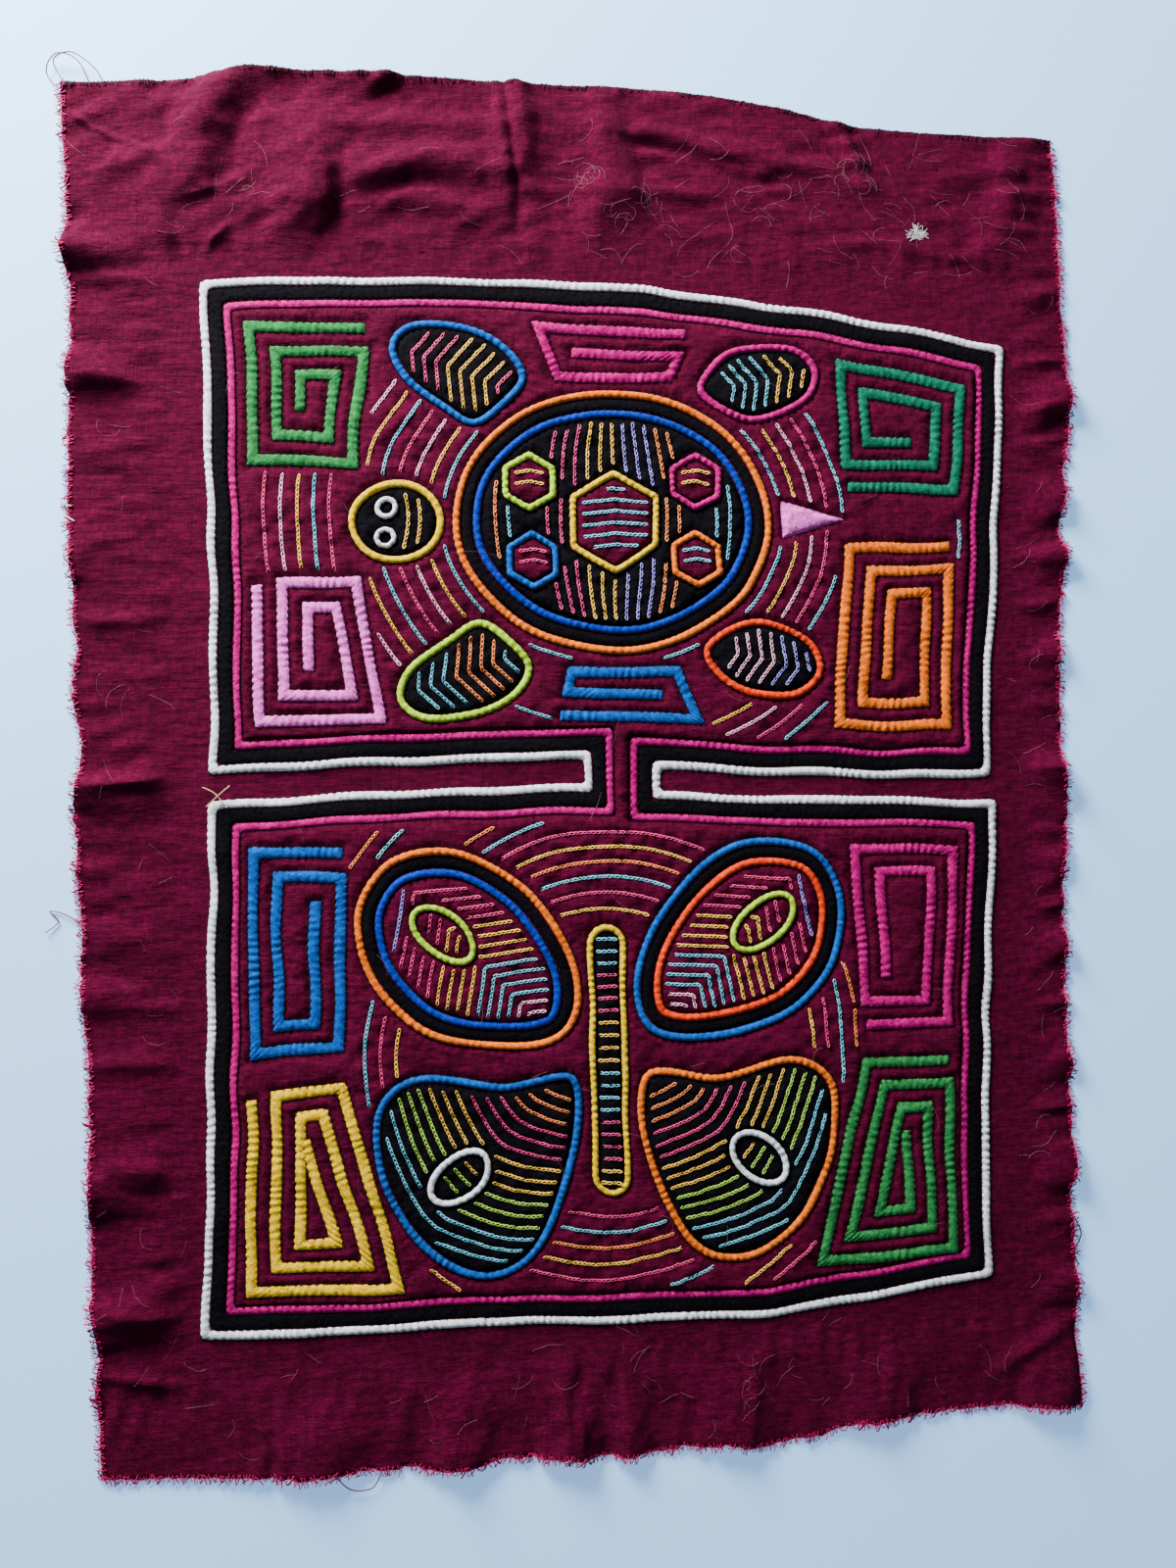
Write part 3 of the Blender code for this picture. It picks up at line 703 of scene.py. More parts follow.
# Angular spirals
# Each is a strip of bright cotton with turned edges that winds inwards from its own corner. Its
# edges are whip-stitched every 3 mm, and each stitch draws the strip in and dents it a little.
# Columns: name, colour, the four corners of its outside in the order the strip goes round
SPIRALS = (
    ("upper_left_high", "green", ((-86, 182), (-136, 182), (-136, 125), (-92, 123))),
    ("upper_left_low", "light_pink", ((-136, 80), (-136, 21), (-84, 21), (-92, 81))),
    ("upper_middle_high", "pink", ((46, 181), (-22, 184), (-14, 158.5), (36, 158.5))),
    ("upper_middle_low", "azure", ((-18, 21), (46, 18), (36, 43), (-10, 43))),
    ("upper_right_high", "teal", ((106, 114), (157, 112), (161, 160), (104, 170))),
    ("upper_right_low", "orange", ((155, 94), (106, 92), (100, 15), (151, 13))),
    ("lower_left_high", "azure", ((-101, -28), (-140, -26), (-142, -112), (-104, -109))),
    ("lower_left_low", "yellow", ((-143, -124), (-146, -206), (-82, -208), (-104, -121))),
    ("lower_right_high", "pink", ((109, -111), (149, -112), (153, -35), (106, -32))),
    ("lower_right_low", "green", ((149, -124), (109, -122), (86, -210), (149, -208))),
)
SPIRAL_WIDTH = 4.8
SPIRAL_PITCH = 9.6
SPIRAL_ROOM = 8.4
SPIRAL_CREST = 2.2
COTTONS["green"] = cotton("green_cotton", (0.021, 0.165, 0.042))
COTTONS["light_pink"] = cotton("light_pink_cotton", (1.0, 0.12, 0.52))
COTTONS["azure"] = cotton("azure_cotton", (0.0003, 0.072, 0.33))
COTTONS["teal"] = cotton("teal_cotton", (0.005, 0.120, 0.068))
COTTONS["orange"] = cotton("orange_cotton", (0.80, 0.130, 0.006))
COTTONS["yellow"] = cotton("yellow_cotton", (1.0, 0.45, 0.001))


def turns_left(loop):
    """True if a loop runs anticlockwise."""
    return sum(a[0] * b[1] - b[0] * a[1] for a, b in zip(loop, loop[1:] + loop[:1])) > 0


def spiral_path(corners):
    """Middle line of a strip that winds inwards along the four sides until it has no room left."""
    sense = 1 if turns_left(corners) else -1

    def side(count):
        start, end = Vector(corners[count % 4]), Vector(corners[(count + 1) % 4])
        along = (end - start).normalized()
        inward = sense * Vector((-along.y, along.x))
        return start + inward * (SPIRAL_WIDTH / 2 + SPIRAL_PITCH * (max(count, 0) // 4)), along

    path = []
    while True:
        (a, along_a), (b, along_b) = side(len(path) - 1), side(len(path))
        corner = a + along_a * ((b - a).cross(along_b) / along_a.cross(along_b))
        if path and (corner - Vector(path[-1])).dot(along_a) < SPIRAL_ROOM:
            return path
        path.append(tuple(corner))


def strip_sides(path, width):
    """The two edges of a strip of even width along an open path, with mitred corners."""
    ways = [(Vector(b) - Vector(a)).normalized() for a, b in zip(path, path[1:])]
    normals = [Vector((-way.y, way.x)) for way in ways]
    right, left = [], []
    for i, point in enumerate(path):
        before, after = normals[max(i - 1, 0)], normals[min(i, len(normals) - 1)]
        mitre = (before + after) / (1 + before.dot(after)) * width / 2
        right.append(tuple(Vector(point) - mitre))
        left.append(tuple(Vector(point) + mitre))
    return right, left


# Outlines of what lies on the field cloth, and the places of whole spirals
shapes_on_field = []
spiral_places = []
for name, colour, corners in SPIRALS:
    near, far = sewn_strip(
        "spiral_" + name, strip_sides(spiral_path(corners), SPIRAL_WIDTH), colour,
        (FIELD_FOOT, FIELD_FOOT), SPIRAL_CREST, closed=False, pinch=0.72, step=0.5,
    )
    shapes_on_field.append([np.concatenate([near, far[::-1]])])
    spiral_places.append([np.array(corners)])
    for line in (near, far):
        whip(line, FIELD_FOOT + STITCH_LIFT)

# Quilted patches
# The cloth inside an outline is sewn down along its edge and along every row of stitches on it,
# and puffs up in between with small puckers that run out from the stitches.
PATCH_CELL = 1.25
PATCH_CLOTH = 0.4
# The mesh is finer within this reach of a seam or row
FINE_REACH = 3.5
# How the cloth rises from its seam, and dips along a row by a share of that
SEAM_ROUNDING = 1.6
ROW_DIP = 0.5
ROW_ROUNDING = 1.1
# Gathers along the seam and along the rows: height and reach
SEAM_GATHERS = 0.55
SEAM_GATHER_REACH = 2.4
ROW_GATHERS = 0.24
ROW_GATHER_REACH = 2.6
ROW_GATHER_PITCH = 4.2
LOOSE_PUCKERS = 0.42
puckers = unevenness(41, 5, 13, 16)
stitch_rows = {}


def quilt(node, outline, colour, foot, puff, shapes, rows, cell=PATCH_CELL):
    """A patch of cloth inside an outline, held down round the shapes and by the rows on it.

    Returns a function for its height, which the stitches on it need.
    """
    outline = stepped(outline, cell, closed=True)
    edge = Nearest([closed(outline)] + edges_of(shapes))
    held = Nearest(rows)
    coarse, fine = scattered(outline, 2 * cell, shapes), scattered(outline, cell, shapes)

    def nearness(points):
        """How far places are from a seam and from a row."""
        return edge.distance(points)[0], held.distance(points)[0]

    off, off_row = nearness(fine)
    fine = fine[(off > 0.6 * cell) & (np.minimum(off, off_row) < FINE_REACH)]
    coarse = coarse[np.minimum(*nearness(coarse)) >= FINE_REACH]
    seams = [stepped(line, cell)[:-1] for line in edges_of(shapes)]

    def height(points):
        off, run = edge.distance(points)
        off_row, run_row = held.distance(points)
        swell = 1 - np.exp(-((off / SEAM_ROUNDING) ** 1.5))
        swell = swell * (1 - ROW_DIP * np.exp(-((off_row / ROW_ROUNDING) ** 2)))
        drawn = SEAM_GATHERS * np.cos(math.tau * run / STITCH_PITCH) * np.exp(-off / SEAM_GATHER_REACH)
        drawn = drawn * np.clip(off / 0.8, 0.2, 1)
        drawn_rows = ROW_GATHERS * np.cos(math.tau * run_row / ROW_GATHER_PITCH)
        drawn = drawn + drawn_rows * np.exp(-off_row / ROW_GATHER_REACH)
        loose = LOOSE_PUCKERS * puckers(points[:, 0], points[:, 1]) * (1 - np.exp(-off / 2))
        return foot + puff * swell + drawn + loose

    flat, faces = filled(outline, np.concatenate([fine, coarse] + seams))
    off, off_row = nearness(flat)
    # Under the shapes on it, the cloth is pressed down out of sight
    hidden = covered(flat, shapes) & (off > 0.5)
    rise = np.where(hidden, foot - 0.3, height(flat))
    # Painted shade along the seams and rows that hold the cloth down
    groove_shade = 0.75 * np.exp(-((off / 0.8) ** 2)) + 0.35 * np.exp(-((off_row / 0.9) ** 2))
    piece = lay("sewn_" + node, placed(flat[:, 0], flat[:, 1], rise), faces, colour, node, groove_shade)
    thicken(piece, PATCH_CLOTH)
    return height


def bowed_rows(middle, turn, pitch, reach, bend, power=2.0, shift=0.0, gather=0.0):
    """Lines side by side across a direction: straight, bowed (power 2) or pointed (power 1).

    They run closer together at both ends by the share gather.
    """
    cos, sin = math.cos(math.radians(turn)), math.sin(math.radians(turn))
    side = np.linspace(-1, 1, 81)
    count = int(reach // pitch) + 1
    for k in range(-count, count + 1):
        ahead = k * pitch * (1 - gather * side**2) + shift - bend * np.abs(side) ** power
        x = middle[0] + ahead * cos - side * reach * sin
        y = middle[1] + ahead * sin + side * reach * cos
        yield k + count, np.stack([x, y], -1)


def kept_runs(line, outline, clear, keep_off, shapes=(), shortest=6.0):
    """The stretches of a line inside an outline, clear of its seams and of the shapes on it."""
    line = stepped(line, 1.0)
    good = inside(line, outline) & (keep_off.distance(line)[0] > clear) & ~covered(line, shapes)
    edges = np.flatnonzero(np.diff(np.concatenate([[0], good.astype(int), [0]])))
    for start, end in zip(edges[::2], edges[1::2]):
        if end - start > shortest:
            yield line[start:end]


def fill_with_rows(outline, rows, colours, group, shapes=(), clear=2.4, shortest=6):
    """Picks the rows that fit on a patch, and their thread colours in groups."""
    outline = np.array(outline)
    keep_off = Nearest([closed(outline)] + edges_of(shapes))
    kept = []
    for count, line in rows:
        for run in kept_runs(line, outline, clear, keep_off, shapes, shortest):
            kept.append((colours[(count // group) % len(colours)], run))
    return kept


def embroider(rows, height, lift=0.35):
    """Notes rows of chain stitch lying on a patch, for the links that are made at the end."""
    for colour, run in rows:
        path = placed(run[:, 0], run[:, 1], height(run) + lift)
        stitch_rows.setdefault(colour, []).append(path)


def stitched_patch(node, loop, fill, foot, puff, rows, shapes=(), **sizes):
    """A quilted patch with rows of chain stitch."""
    picked = fill_with_rows(loop, *rows, shapes, **sizes)
    height = quilt(node + "_patch", loop, fill, foot, puff, shapes, [run for _, run in picked])
    embroider(picked, height)


def outlined_patch(node, loop, line, fill, foot, crest, rows, shapes=(), width=3.2, puff=1.0, **sizes):
    """A shape as it shows: a turned line of one cotton round a quilted patch of another."""
    near, _ = sewn_strip(node + "_outline", (loop, inset(loop, width)), line, (foot, foot), crest)
    stitched_patch(node, inset(loop, width + GAP), fill, foot, puff, rows, shapes, **sizes)
    whip(near, foot + STITCH_LIFT)


# Turtle of the upper compartment
# A shell of black cotton inside two lines, with five outlined scutes, a head with ring eyes, four
# black flippers and a small tail, every black part covered with rows of chain stitch.
TURTLE_MIDDLE = (10, 102)
SHELL_HALF_LENGTH, SHELL_HALF_WIDTH = 66, 54
OUTLINE_WIDTH = 3.2
RING_BLACK_WIDTH = 4.4
DETAIL_WIDTH = 2.8
HEAD_MIDDLE = (-88, 0)
HEAD_HALF_LENGTH, HEAD_HALF_WIDTH = 19, 17
EYE_OFFSET = (-4, 6.0)
EYE_RADIUS = 4.6
EYE_WIDTH = 2.2
FRONT_FLIPPER = (
    (-44, 46), (-35, 58), (-42, 71), (-58, 79), (-80, 80), (-90, 71), (-84, 57), (-68, 45), (-56, 39),
)
BACK_FLIPPER = ((36, 52), (42, 65), (56, 73), (76, 73), (87, 63), (83, 50), (68, 42), (53, 41))
TAIL = ((70, 8), (97, 0), (70, -8))
# Columns: x, y, radius, colour of its outline, thread colour
SCUTES = (
    (0, 0, 21, "yellow", "sky"), (-34, 16, 12.5, "lime", "gold"), (-34, -16, 12.5, "azure", "rose"),
    (34, 16, 12.5, "pink", "gold"), (34, -16, 12.5, "orange", "sky"),
)
SCUTE_SIDES = 6
SCUTE_TURN = 30
PATCH_FOOT = FIELD_FOOT + 0.1
SCUTE_FOOT = 1.9
PATCH_CREST = 2.6
ARC_STEPS = 96
CURVE_STEPS = 9
COTTONS["lime"] = cotton("lime_cotton", (0.36, 0.58, 0.020))
COTTONS["blue"] = cotton("blue_cotton", (0.0002, 0.026, 0.30))
COTTONS["red_orange"] = cotton("red_orange_cotton", (0.66, 0.034, 0.004))


def ellipse(middle, half_length, half_width, steps=ARC_STEPS, turn=0.0):
    """Closed outline of an ellipse, anticlockwise."""
    cos, sin = math.cos(math.radians(turn)), math.sin(math.radians(turn))
    loop = []
    for step in range(steps):
        angle = math.tau * step / steps
        x, y = half_length * math.cos(angle), half_width * math.sin(angle)
        loop.append((middle[0] + x * cos - y * sin, middle[1] + x * sin + y * cos))
    return loop


def smooth_run(a, b, c, d, steps):
    """Points from b towards c on a smooth curve through four points."""
    for step in range(steps):
        t = step / steps
        bend = (c - a) * t + (2 * a - 5 * b + 4 * c - d) * t**2 + (3 * b - a - 3 * c + d) * t**3
        yield tuple(b + bend / 2)


def round_loop(points):
    """Closed outline that runs smoothly through the points, anticlockwise."""
    loop = []
    for i in range(len(points)):
        near_points = (Vector(points[(i + k) % len(points)]) for k in (-1, 0, 1, 2))
        loop += smooth_run(*near_points, CURVE_STEPS)
    return loop if turns_left(loop) else loop[::-1]


def moved(points, middle, flip_x=1, flip_y=1):
    """Points moved from about the origin to about a middle, mirrored where flip is -1."""
    return [(middle[0] + flip_x * x, middle[1] + flip_y * y) for x, y in points]


def ringed_patch(node, loop, outer, inner_line, fill, rows, shapes):
    """A shape with two lines round it and a band of black cotton between them."""
    shapes_on_field.append([np.array(loop)])
    for part, colour, width, crest in (
        ("outline", outer, OUTLINE_WIDTH, PATCH_CREST),
        ("ring", "black", RING_BLACK_WIDTH, 1.9),
        ("inner_line", inner_line, OUTLINE_WIDTH, PATCH_CREST),
    ):
        near, _ = sewn_strip(
            f"{node}_{part}", (loop, inset(loop, width)), colour, (PATCH_FOOT, PATCH_FOOT), crest,
            pinch=0.2 if part == "ring" else 0.4,
        )
        if part != "ring":
            whip(near, PATCH_FOOT + STITCH_LIFT)
        loop = inset(loop, width + GAP)
    stitched_patch(node, loop, fill, PATCH_FOOT, 1.1, rows, shapes)


def outlined_hole(node, loop, width, colour):
    """A narrow turned line round a hole in a patch, and the two outlines that it covers."""
    feet = (SCUTE_FOOT, SCUTE_FOOT)
    near, far = sewn_strip(node, (loop, inset(loop, width)), colour, feet, 3.1)
    return [near, far]


scutes = []
for number, (x, y, radius, line, thread_colour) in enumerate(SCUTES, 1):
    place = moved([(x, y)], TURTLE_MIDDLE)[0]
    hexagon = ellipse(place, radius, radius, SCUTE_SIDES, SCUTE_TURN)
    rows = (bowed_rows(place, 90, 4.4, radius, 2.5, 1.0), [thread_colour], 1)
    scutes.append([np.array(hexagon)])
    outlined_patch(
        f"turtle_scute_{number}", hexagon, line, "burgundy", SCUTE_FOOT, 3.2, rows, width=DETAIL_WIDTH
    )
shell = ellipse(TURTLE_MIDDLE, SHELL_HALF_LENGTH, SHELL_HALF_WIDTH)
shell_rows = (
    bowed_rows(TURTLE_MIDDLE, 0, 5.4, 56, 0, gather=0.4),
    ["orange", "sky", "rose", "gold", "violet"], 3,
)
ringed_patch("turtle_shell", shell, "orange", "blue", "black", shell_rows, scutes)

head_middle = moved([HEAD_MIDDLE], TURTLE_MIDDLE)[0]
head = ellipse(head_middle, HEAD_HALF_LENGTH, HEAD_HALF_WIDTH)
eyes = []
for side, flip in (("upper", 1), ("lower", -1)):
    eye = ellipse(moved([EYE_OFFSET], head_middle, 1, flip)[0], EYE_RADIUS, EYE_RADIUS, 32)
    eyes.append(outlined_hole("turtle_eye_" + side, eye, EYE_WIDTH, "white"))
head_rows = (bowed_rows(head_middle, 0, 4.6, 20, 5, 2.0), ["rose", "gold"], 2)
shapes_on_field.append([np.array(head)])
outlined_patch("turtle_head", head, "yellow", "black", PATCH_FOOT, PATCH_CREST, head_rows, eyes)

# Columns: name, outline, way up, colour, thread colours, turn and middle of its rows
FLIPPERS = (
    ("front_upper", FRONT_FLIPPER, 1, "azure", ["rose", "gold"], 160, (-62, 61)),
    ("front_lower", FRONT_FLIPPER, -1, "lime", ["sky", "orange"], 200, (-62, -61)),
    ("back_upper", BACK_FLIPPER, 1, "pink", ["gold", "sky"], 15, (62, 58)),
    ("back_lower", BACK_FLIPPER, -1, "red_orange", ["violet", "blossom"], -15, (62, -58)),
)
for name, outline, flip, colour, thread_colours, turn, row_middle in FLIPPERS:
    loop = round_loop(moved(outline, TURTLE_MIDDLE, 1, flip))
    rows = (
        bowed_rows(moved([row_middle], TURTLE_MIDDLE)[0], turn, 5.2, 34, 16, 1.0, shift=4),
        thread_colours, 4,
    )
    shapes_on_field.append([np.array(loop)])
    outlined_patch("turtle_flipper_" + name, loop, colour, "black", PATCH_FOOT, PATCH_CREST, rows)

tail = moved(TAIL, TURTLE_MIDDLE)
tail = tail if turns_left(tail) else tail[::-1]
shapes_on_field.append([np.array(tail)])
quilt("turtle_tail", tail, "light_pink", PATCH_FOOT, 1.4, [], [])

# Butterfly of the lower compartment
# Two burgundy upper wings inside double lines and two black lower wings, each with an outlined
# spot, and a slim black body. Veins and rows of chain stitch fan out over all of them.
BUTTERFLY_MIDDLE = (2, -116)
UPPER_WING = (
    (16, 10), (11, 26), (15, 46), (32, 70), (58, 86), (87, 83), (101, 63), (97, 36), (80, 15),
    (56, 6), (32, 4),
)
LOWER_WING = (
    (14, -8), (44, -10), (76, -4), (94, -16), (94, -46), (79, -74), (56, -88), (31, -79), (15, -44),
)
BODY_HALF_LENGTH, BODY_HALF_WIDTH, BODY_DROP = 56, 8, -2
# Columns: x, y, half length, half width, turn in degrees, colour of the outline
WING_SPOTS = ((66, 52, 16, 10, 40, "lime"), (62, -46, 15, 10, -40, "white"))
# Columns: side, way it faces, colours of the upper wing's two lines, of the lower wing's line
WINGS = (("left", -1, "orange", "blue", "azure"), ("right", 1, "azure", "red_orange", "orange"))


def capsule(middle, half_length, radius, steps=48):
    """Upright outline with straight sides and round ends."""
    loop = []
    for step in range(steps):
        angle = math.tau * (step + 0.5) / steps
        shift = math.copysign(half_length - radius, math.sin(angle))
        loop.append((middle[0] + radius * math.cos(angle), middle[1] + radius * math.sin(angle) + shift))
    return loop


for side, flip, outer, inner_line, lower in WINGS:
    spots = []
    for number, (x, y, half_length, half_width, turn, colour) in enumerate(WING_SPOTS, 1):
        place = moved([(x, y)], BUTTERFLY_MIDDLE, flip)[0]
        spot = ellipse(place, half_length, half_width, 64, turn * flip)
        spots.append(outlined_hole(f"butterfly_spot_{number}_{side}", spot, DETAIL_WIDTH, colour))
    loop = round_loop(moved(UPPER_WING, BUTTERFLY_MIDDLE, flip))
    axis = 48 if flip > 0 else 132
    middle = moved([(56, 46)], BUTTERFLY_MIDDLE, flip)[0]
    veins = (
        bowed_rows(middle, axis, 5.2, 60, 46, 1.0, shift=16),
        ["blossom", "sky", "gold", "rose", "violet"], 4,
    )
    ringed_patch("butterfly_upper_wing_" + side, loop, outer, inner_line, "burgundy", veins, spots[:1])
    loop = round_loop(moved(LOWER_WING, BUTTERFLY_MIDDLE, flip))
    axis = -50 if flip > 0 else 230
    middle = moved([(52, -42)], BUTTERFLY_MIDDLE, flip)[0]
    veins = (
        bowed_rows(middle, axis, 5.4, 60, 34, 1.5, shift=10),
        ["sky", "orange", "rose", "gold", "leaf"], 3,
    )
    shapes_on_field.append([np.array(loop)])
    outlined_patch(
        "butterfly_lower_wing_" + side, loop, lower, "black", PATCH_FOOT, PATCH_CREST, veins, spots[1:]
    )

body_middle = moved([(0, BODY_DROP)], BUTTERFLY_MIDDLE)[0]
body_loop = capsule(body_middle, BODY_HALF_LENGTH, BODY_HALF_WIDTH)
shapes_on_field.append([np.array(body_loop)])
body_rows = (bowed_rows(body_middle, 90, 5.0, 56, 1.5, 1.0), ["gold", "rose", "sky"], 4)
outlined_patch(
    "butterfly_body", body_loop, "yellow", "black", PATCH_FOOT, PATCH_CREST, body_rows,
    width=DETAIL_WIDTH, puff=1.1, clear=1.0, shortest=4,
)

# Field cloth
# The top burgundy cotton of both compartments, cut and turned back round every strip and motif.
# Echo rows of chain stitch fill the bare places between them.
FIELD_CELL = 1.3
ECHO_PITCH = 6.4
ECHO_COUNT = 14
ECHO_CLEAR = 3.2
SHORTEST_ECHO = 12
TURTLE_ECHOES = (70, 58)
BUTTERFLY_ECHOES = (60, 60)
field_outline = stepped(field_edge, 1.0, closed=True)
keep_off = Nearest([closed(field_outline)] + edges_of(shapes_on_field))
taken = shapes_on_field + spiral_places
echoes = []
for middle, (half_length, half_width), colours in (
    (TURTLE_MIDDLE, TURTLE_ECHOES, ["sky", "gold", "blossom", "rose"]),
    (BUTTERFLY_MIDDLE, BUTTERFLY_ECHOES, ["gold", "rose", "sky", "orange"]),
):
    for count in range(ECHO_COUNT):
        grown = count * ECHO_PITCH
        ring = ellipse(middle, half_length + grown, half_width + grown)
        for run in kept_runs(ring + ring[:1], field_outline, ECHO_CLEAR, keep_off, taken, SHORTEST_ECHO):
            # An echo of one motif stops at the compartment of the other
            if (run[:, 1].mean() > 0) == (middle[1] > 0):
                echoes.append((colours[count % len(colours)], run))
height = quilt(
    "field_cloth", field_outline, "burgundy", FIELD_FOOT, 1.1, shapes_on_field,
    [run for _, run in echoes], FIELD_CELL,
)
embroider(echoes, height)

# Chain stitch
# Rows of linked loops in two-ply embroidery cotton, under 2 mm a link, worked through all layers.
LINK_PITCH = 1.8
LINK_LENGTH = 2.45
LINK_WIDTH = 1.3
THREAD_RADIUS = 0.25
HEAD_DROP = 0.25
PLY_SCALE = 2.6
PLY_RELIEF = 0.15
THREAD_COLOURS = {
    "blossom": (0.80, 0.38, 0.50), "sky": (0.12, 0.46, 0.58), "rose": (0.58, 0.028, 0.14),
    "gold": (0.80, 0.44, 0.045), "violet": (0.22, 0.19, 0.56), "orange": (0.80, 0.20, 0.045),
    "leaf": (0.32, 0.58, 0.06),
}


def thread(name, colour, gloss=0.3):
    """Dyed cotton thread: soft lustre, fine fuzz and a twist that shows as light and dark."""
    material, node = new_material(name)
    place = node("TexCoord", {})["Object"]
    plies = node("TexNoise", {"Vector": place, "Scale": PLY_SCALE / MM, "Detail": 3.0})["Fac"]
    shades = {0: plies, 6: tinted(colour, 0.62), 7: tinted(colour, 1.25, 0.003)}
    fill_inputs(material.node_tree, material.node_tree.nodes["Principled BSDF"], {
        "Base Color": node("Mix", shades, data_type="RGBA")[2],
        "Normal": node("Bump", {"Height": plies, "Strength": 0.6, "Distance": PLY_RELIEF * MM})[0],
        "Roughness": 0.65,
        "Specular IOR Level": gloss,
        "Sheen Weight": 0.12,
        "Sheen Tint": tinted(colour, 2, 0.1),
    })
    return material


class ThreadTree:
    """A node tree that sets a small thread shape along lines, with its sizes as named inputs."""

    def __init__(self, name, sizes):
        self.tree = bpy.data.node_groups.new(name, "GeometryNodeTree")
        face = self.tree.interface
        face.new_socket("Geometry", in_out="INPUT", socket_type="NodeSocketGeometry")
        face.new_socket("Geometry", in_out="OUTPUT", socket_type="NodeSocketGeometry")
        self.ids = {}
        for size, start in sizes.items():
            socket = face.new_socket(size, in_out="INPUT", socket_type="NodeSocketFloat")
            socket.default_value = start
            self.ids[size] = socket.identifier
        socket = face.new_socket("Thread", in_out="INPUT", socket_type="NodeSocketMaterial")
        self.ids["Thread"] = socket.identifier
        self.given = self.tree.nodes.new("NodeGroupInput").outputs

    def add(self, kind, values=None, **settings):
        """Adds a node. A dot before its kind means that the rest is its full name."""
        made = self.tree.nodes.new("GeometryNode" + kind if kind[0] != "." else kind[1:])
        for key, value in settings.items():
            setattr(made, key, value)
        fill_inputs(self.tree, made, values or {})
        return made.outputs

    def tube(self, lines, capped=True):
        """A three-sided thread along lines, as thick as the tree's thread radius."""
        radius = self.given["Thread radius"]
        strand = self.add("CurvePrimitiveCircle", {"Resolution": 3, "Radius": radius})[0]
        along = {"Curve": lines, "Profile Curve": strand, "Fill Caps": capped}
        return self.add("CurveToMesh", along)[0]

    def maths(self, operation, a, b):
        return self.add(".ShaderNodeMath", {0: a, 1: b}, operation=operation)[0]

    def vector(self, x, y, z):
        return self.add(".ShaderNodeCombineXYZ", {0: x, 1: y, 2: z})[0]

    def along_lines(self, pitch, shape, turn, smallest, largest):
        """Sets the shape along every line, facing up, turned about up and uneven in size."""
        lines = self.add("MeshToCurve", {"Mesh": self.given["Geometry"]})[0]
        beats = self.add("ResampleCurve", {"Curve": lines, "Length": pitch}, mode="LENGTH")[0]
        tangent = self.add("InputTangent")[0]
        facing = self.add(
            ".FunctionNodeAxesToRotation", {"Primary Axis": tangent, "Secondary Axis": (0, 0, 1)},
            primary_axis="X", secondary_axis="Z",
        )[0]
        swing = self.add(".FunctionNodeRandomValue", {2: -0.5, 3: 0.5, "Seed": 3}, data_type="FLOAT")[1]
        swing = self.maths("MULTIPLY", swing, turn[1])
        about_up = self.vector(0.0, 0.0, self.maths("ADD", swing, turn[0]))
        turned = self.add(".FunctionNodeEulerToRotation", {0: about_up})[0]
        facing = self.add(
            ".FunctionNodeRotateRotation", {0: facing, 1: turned}, rotation_space="LOCAL"
        )[0]
        size = self.add(
            ".FunctionNodeRandomValue", {2: smallest, 3: largest, "Seed": 7}, data_type="FLOAT"
        )[1]
        copies = self.add(
            "InstanceOnPoints", {"Points": beats, "Instance": shape, "Rotation": facing, "Scale": size}
        )[0]
        self.finish(copies)

    def finish(self, made):
        """Ends the tree: real, smooth and dyed geometry."""
        real = self.add("RealizeInstances", {0: made})[0]
        smooth = self.add("SetShadeSmooth", {0: real})[0]
        dyed = self.add("SetMaterial", {"Geometry": smooth, "Material": self.given["Thread"]})[0]
        end = self.tree.nodes.new("NodeGroupOutput")
        self.tree.links.new(dyed, end.inputs[0])

    def work(self, name, lines, material, **sizes):
        """Works the tree along lines of points and leaves a plain mesh that rides with the panel."""
        mesh = bpy.data.meshes.new(name)
        starts = np.cumsum([0] + [len(line) for line in lines])
        edges = [
            (start + i, start + i + 1) for start, line in zip(starts, lines) for i in range(len(line) - 1)
        ]
        mesh.from_pydata(np.concatenate(lines), edges, [])
        guide = bpy.data.objects.new(name + "_guide", mesh)
        bpy.context.scene.collection.objects.link(guide)
        modifier = guide.modifiers.new("thread", "NODES")
        modifier.node_group = self.tree
        modifier[self.ids["Thread"]] = material
        for size, value in sizes.items():
            modifier[self.ids[size.replace("_", " ").capitalize()]] = value
        seen = guide.evaluated_get(bpy.context.evaluated_depsgraph_get())
        made = bpy.data.meshes.new_from_object(seen)
        made.name = name
        bpy.data.objects.remove(guide)
        add_piece(name, made)


chain = ThreadTree("chain_stitch", {
    "Link pitch": LINK_PITCH * MM, "Link length": LINK_LENGTH * MM, "Link width": LINK_WIDTH * MM,
    "Thread radius": THREAD_RADIUS * MM, "Head drop": HEAD_DROP * MM,
})
circle = chain.add("CurvePrimitiveCircle", {"Resolution": 8, "Radius": 1.0})[0]
spot = chain.add(".ShaderNodeSeparateXYZ", {0: chain.add("InputPosition")[0]})
half_length = chain.maths("MULTIPLY", chain.given["Link length"], 0.5)
half_width = chain.maths("MULTIPLY", chain.given["Link width"], 0.5)
wider = chain.maths("ADD", chain.maths("MULTIPLY", spot[0], 0.25), 0.75)
link_y = chain.maths("MULTIPLY", chain.maths("MULTIPLY", spot[1], wider), half_width)
link_x = chain.maths("MULTIPLY", spot[0], half_length)
link_z = chain.maths("MULTIPLY", chain.maths("MULTIPLY", spot[0], -1.0), chain.given["Head drop"])
link_place = chain.vector(link_x, link_y, link_z)
teardrop = chain.add("SetPosition", {"Geometry": circle, "Position": link_place})[0]
link = chain.tube(teardrop, capped=False)
chain.along_lines(chain.given["Link pitch"], link, (0.0, 0.22), 0.9, 1.1)
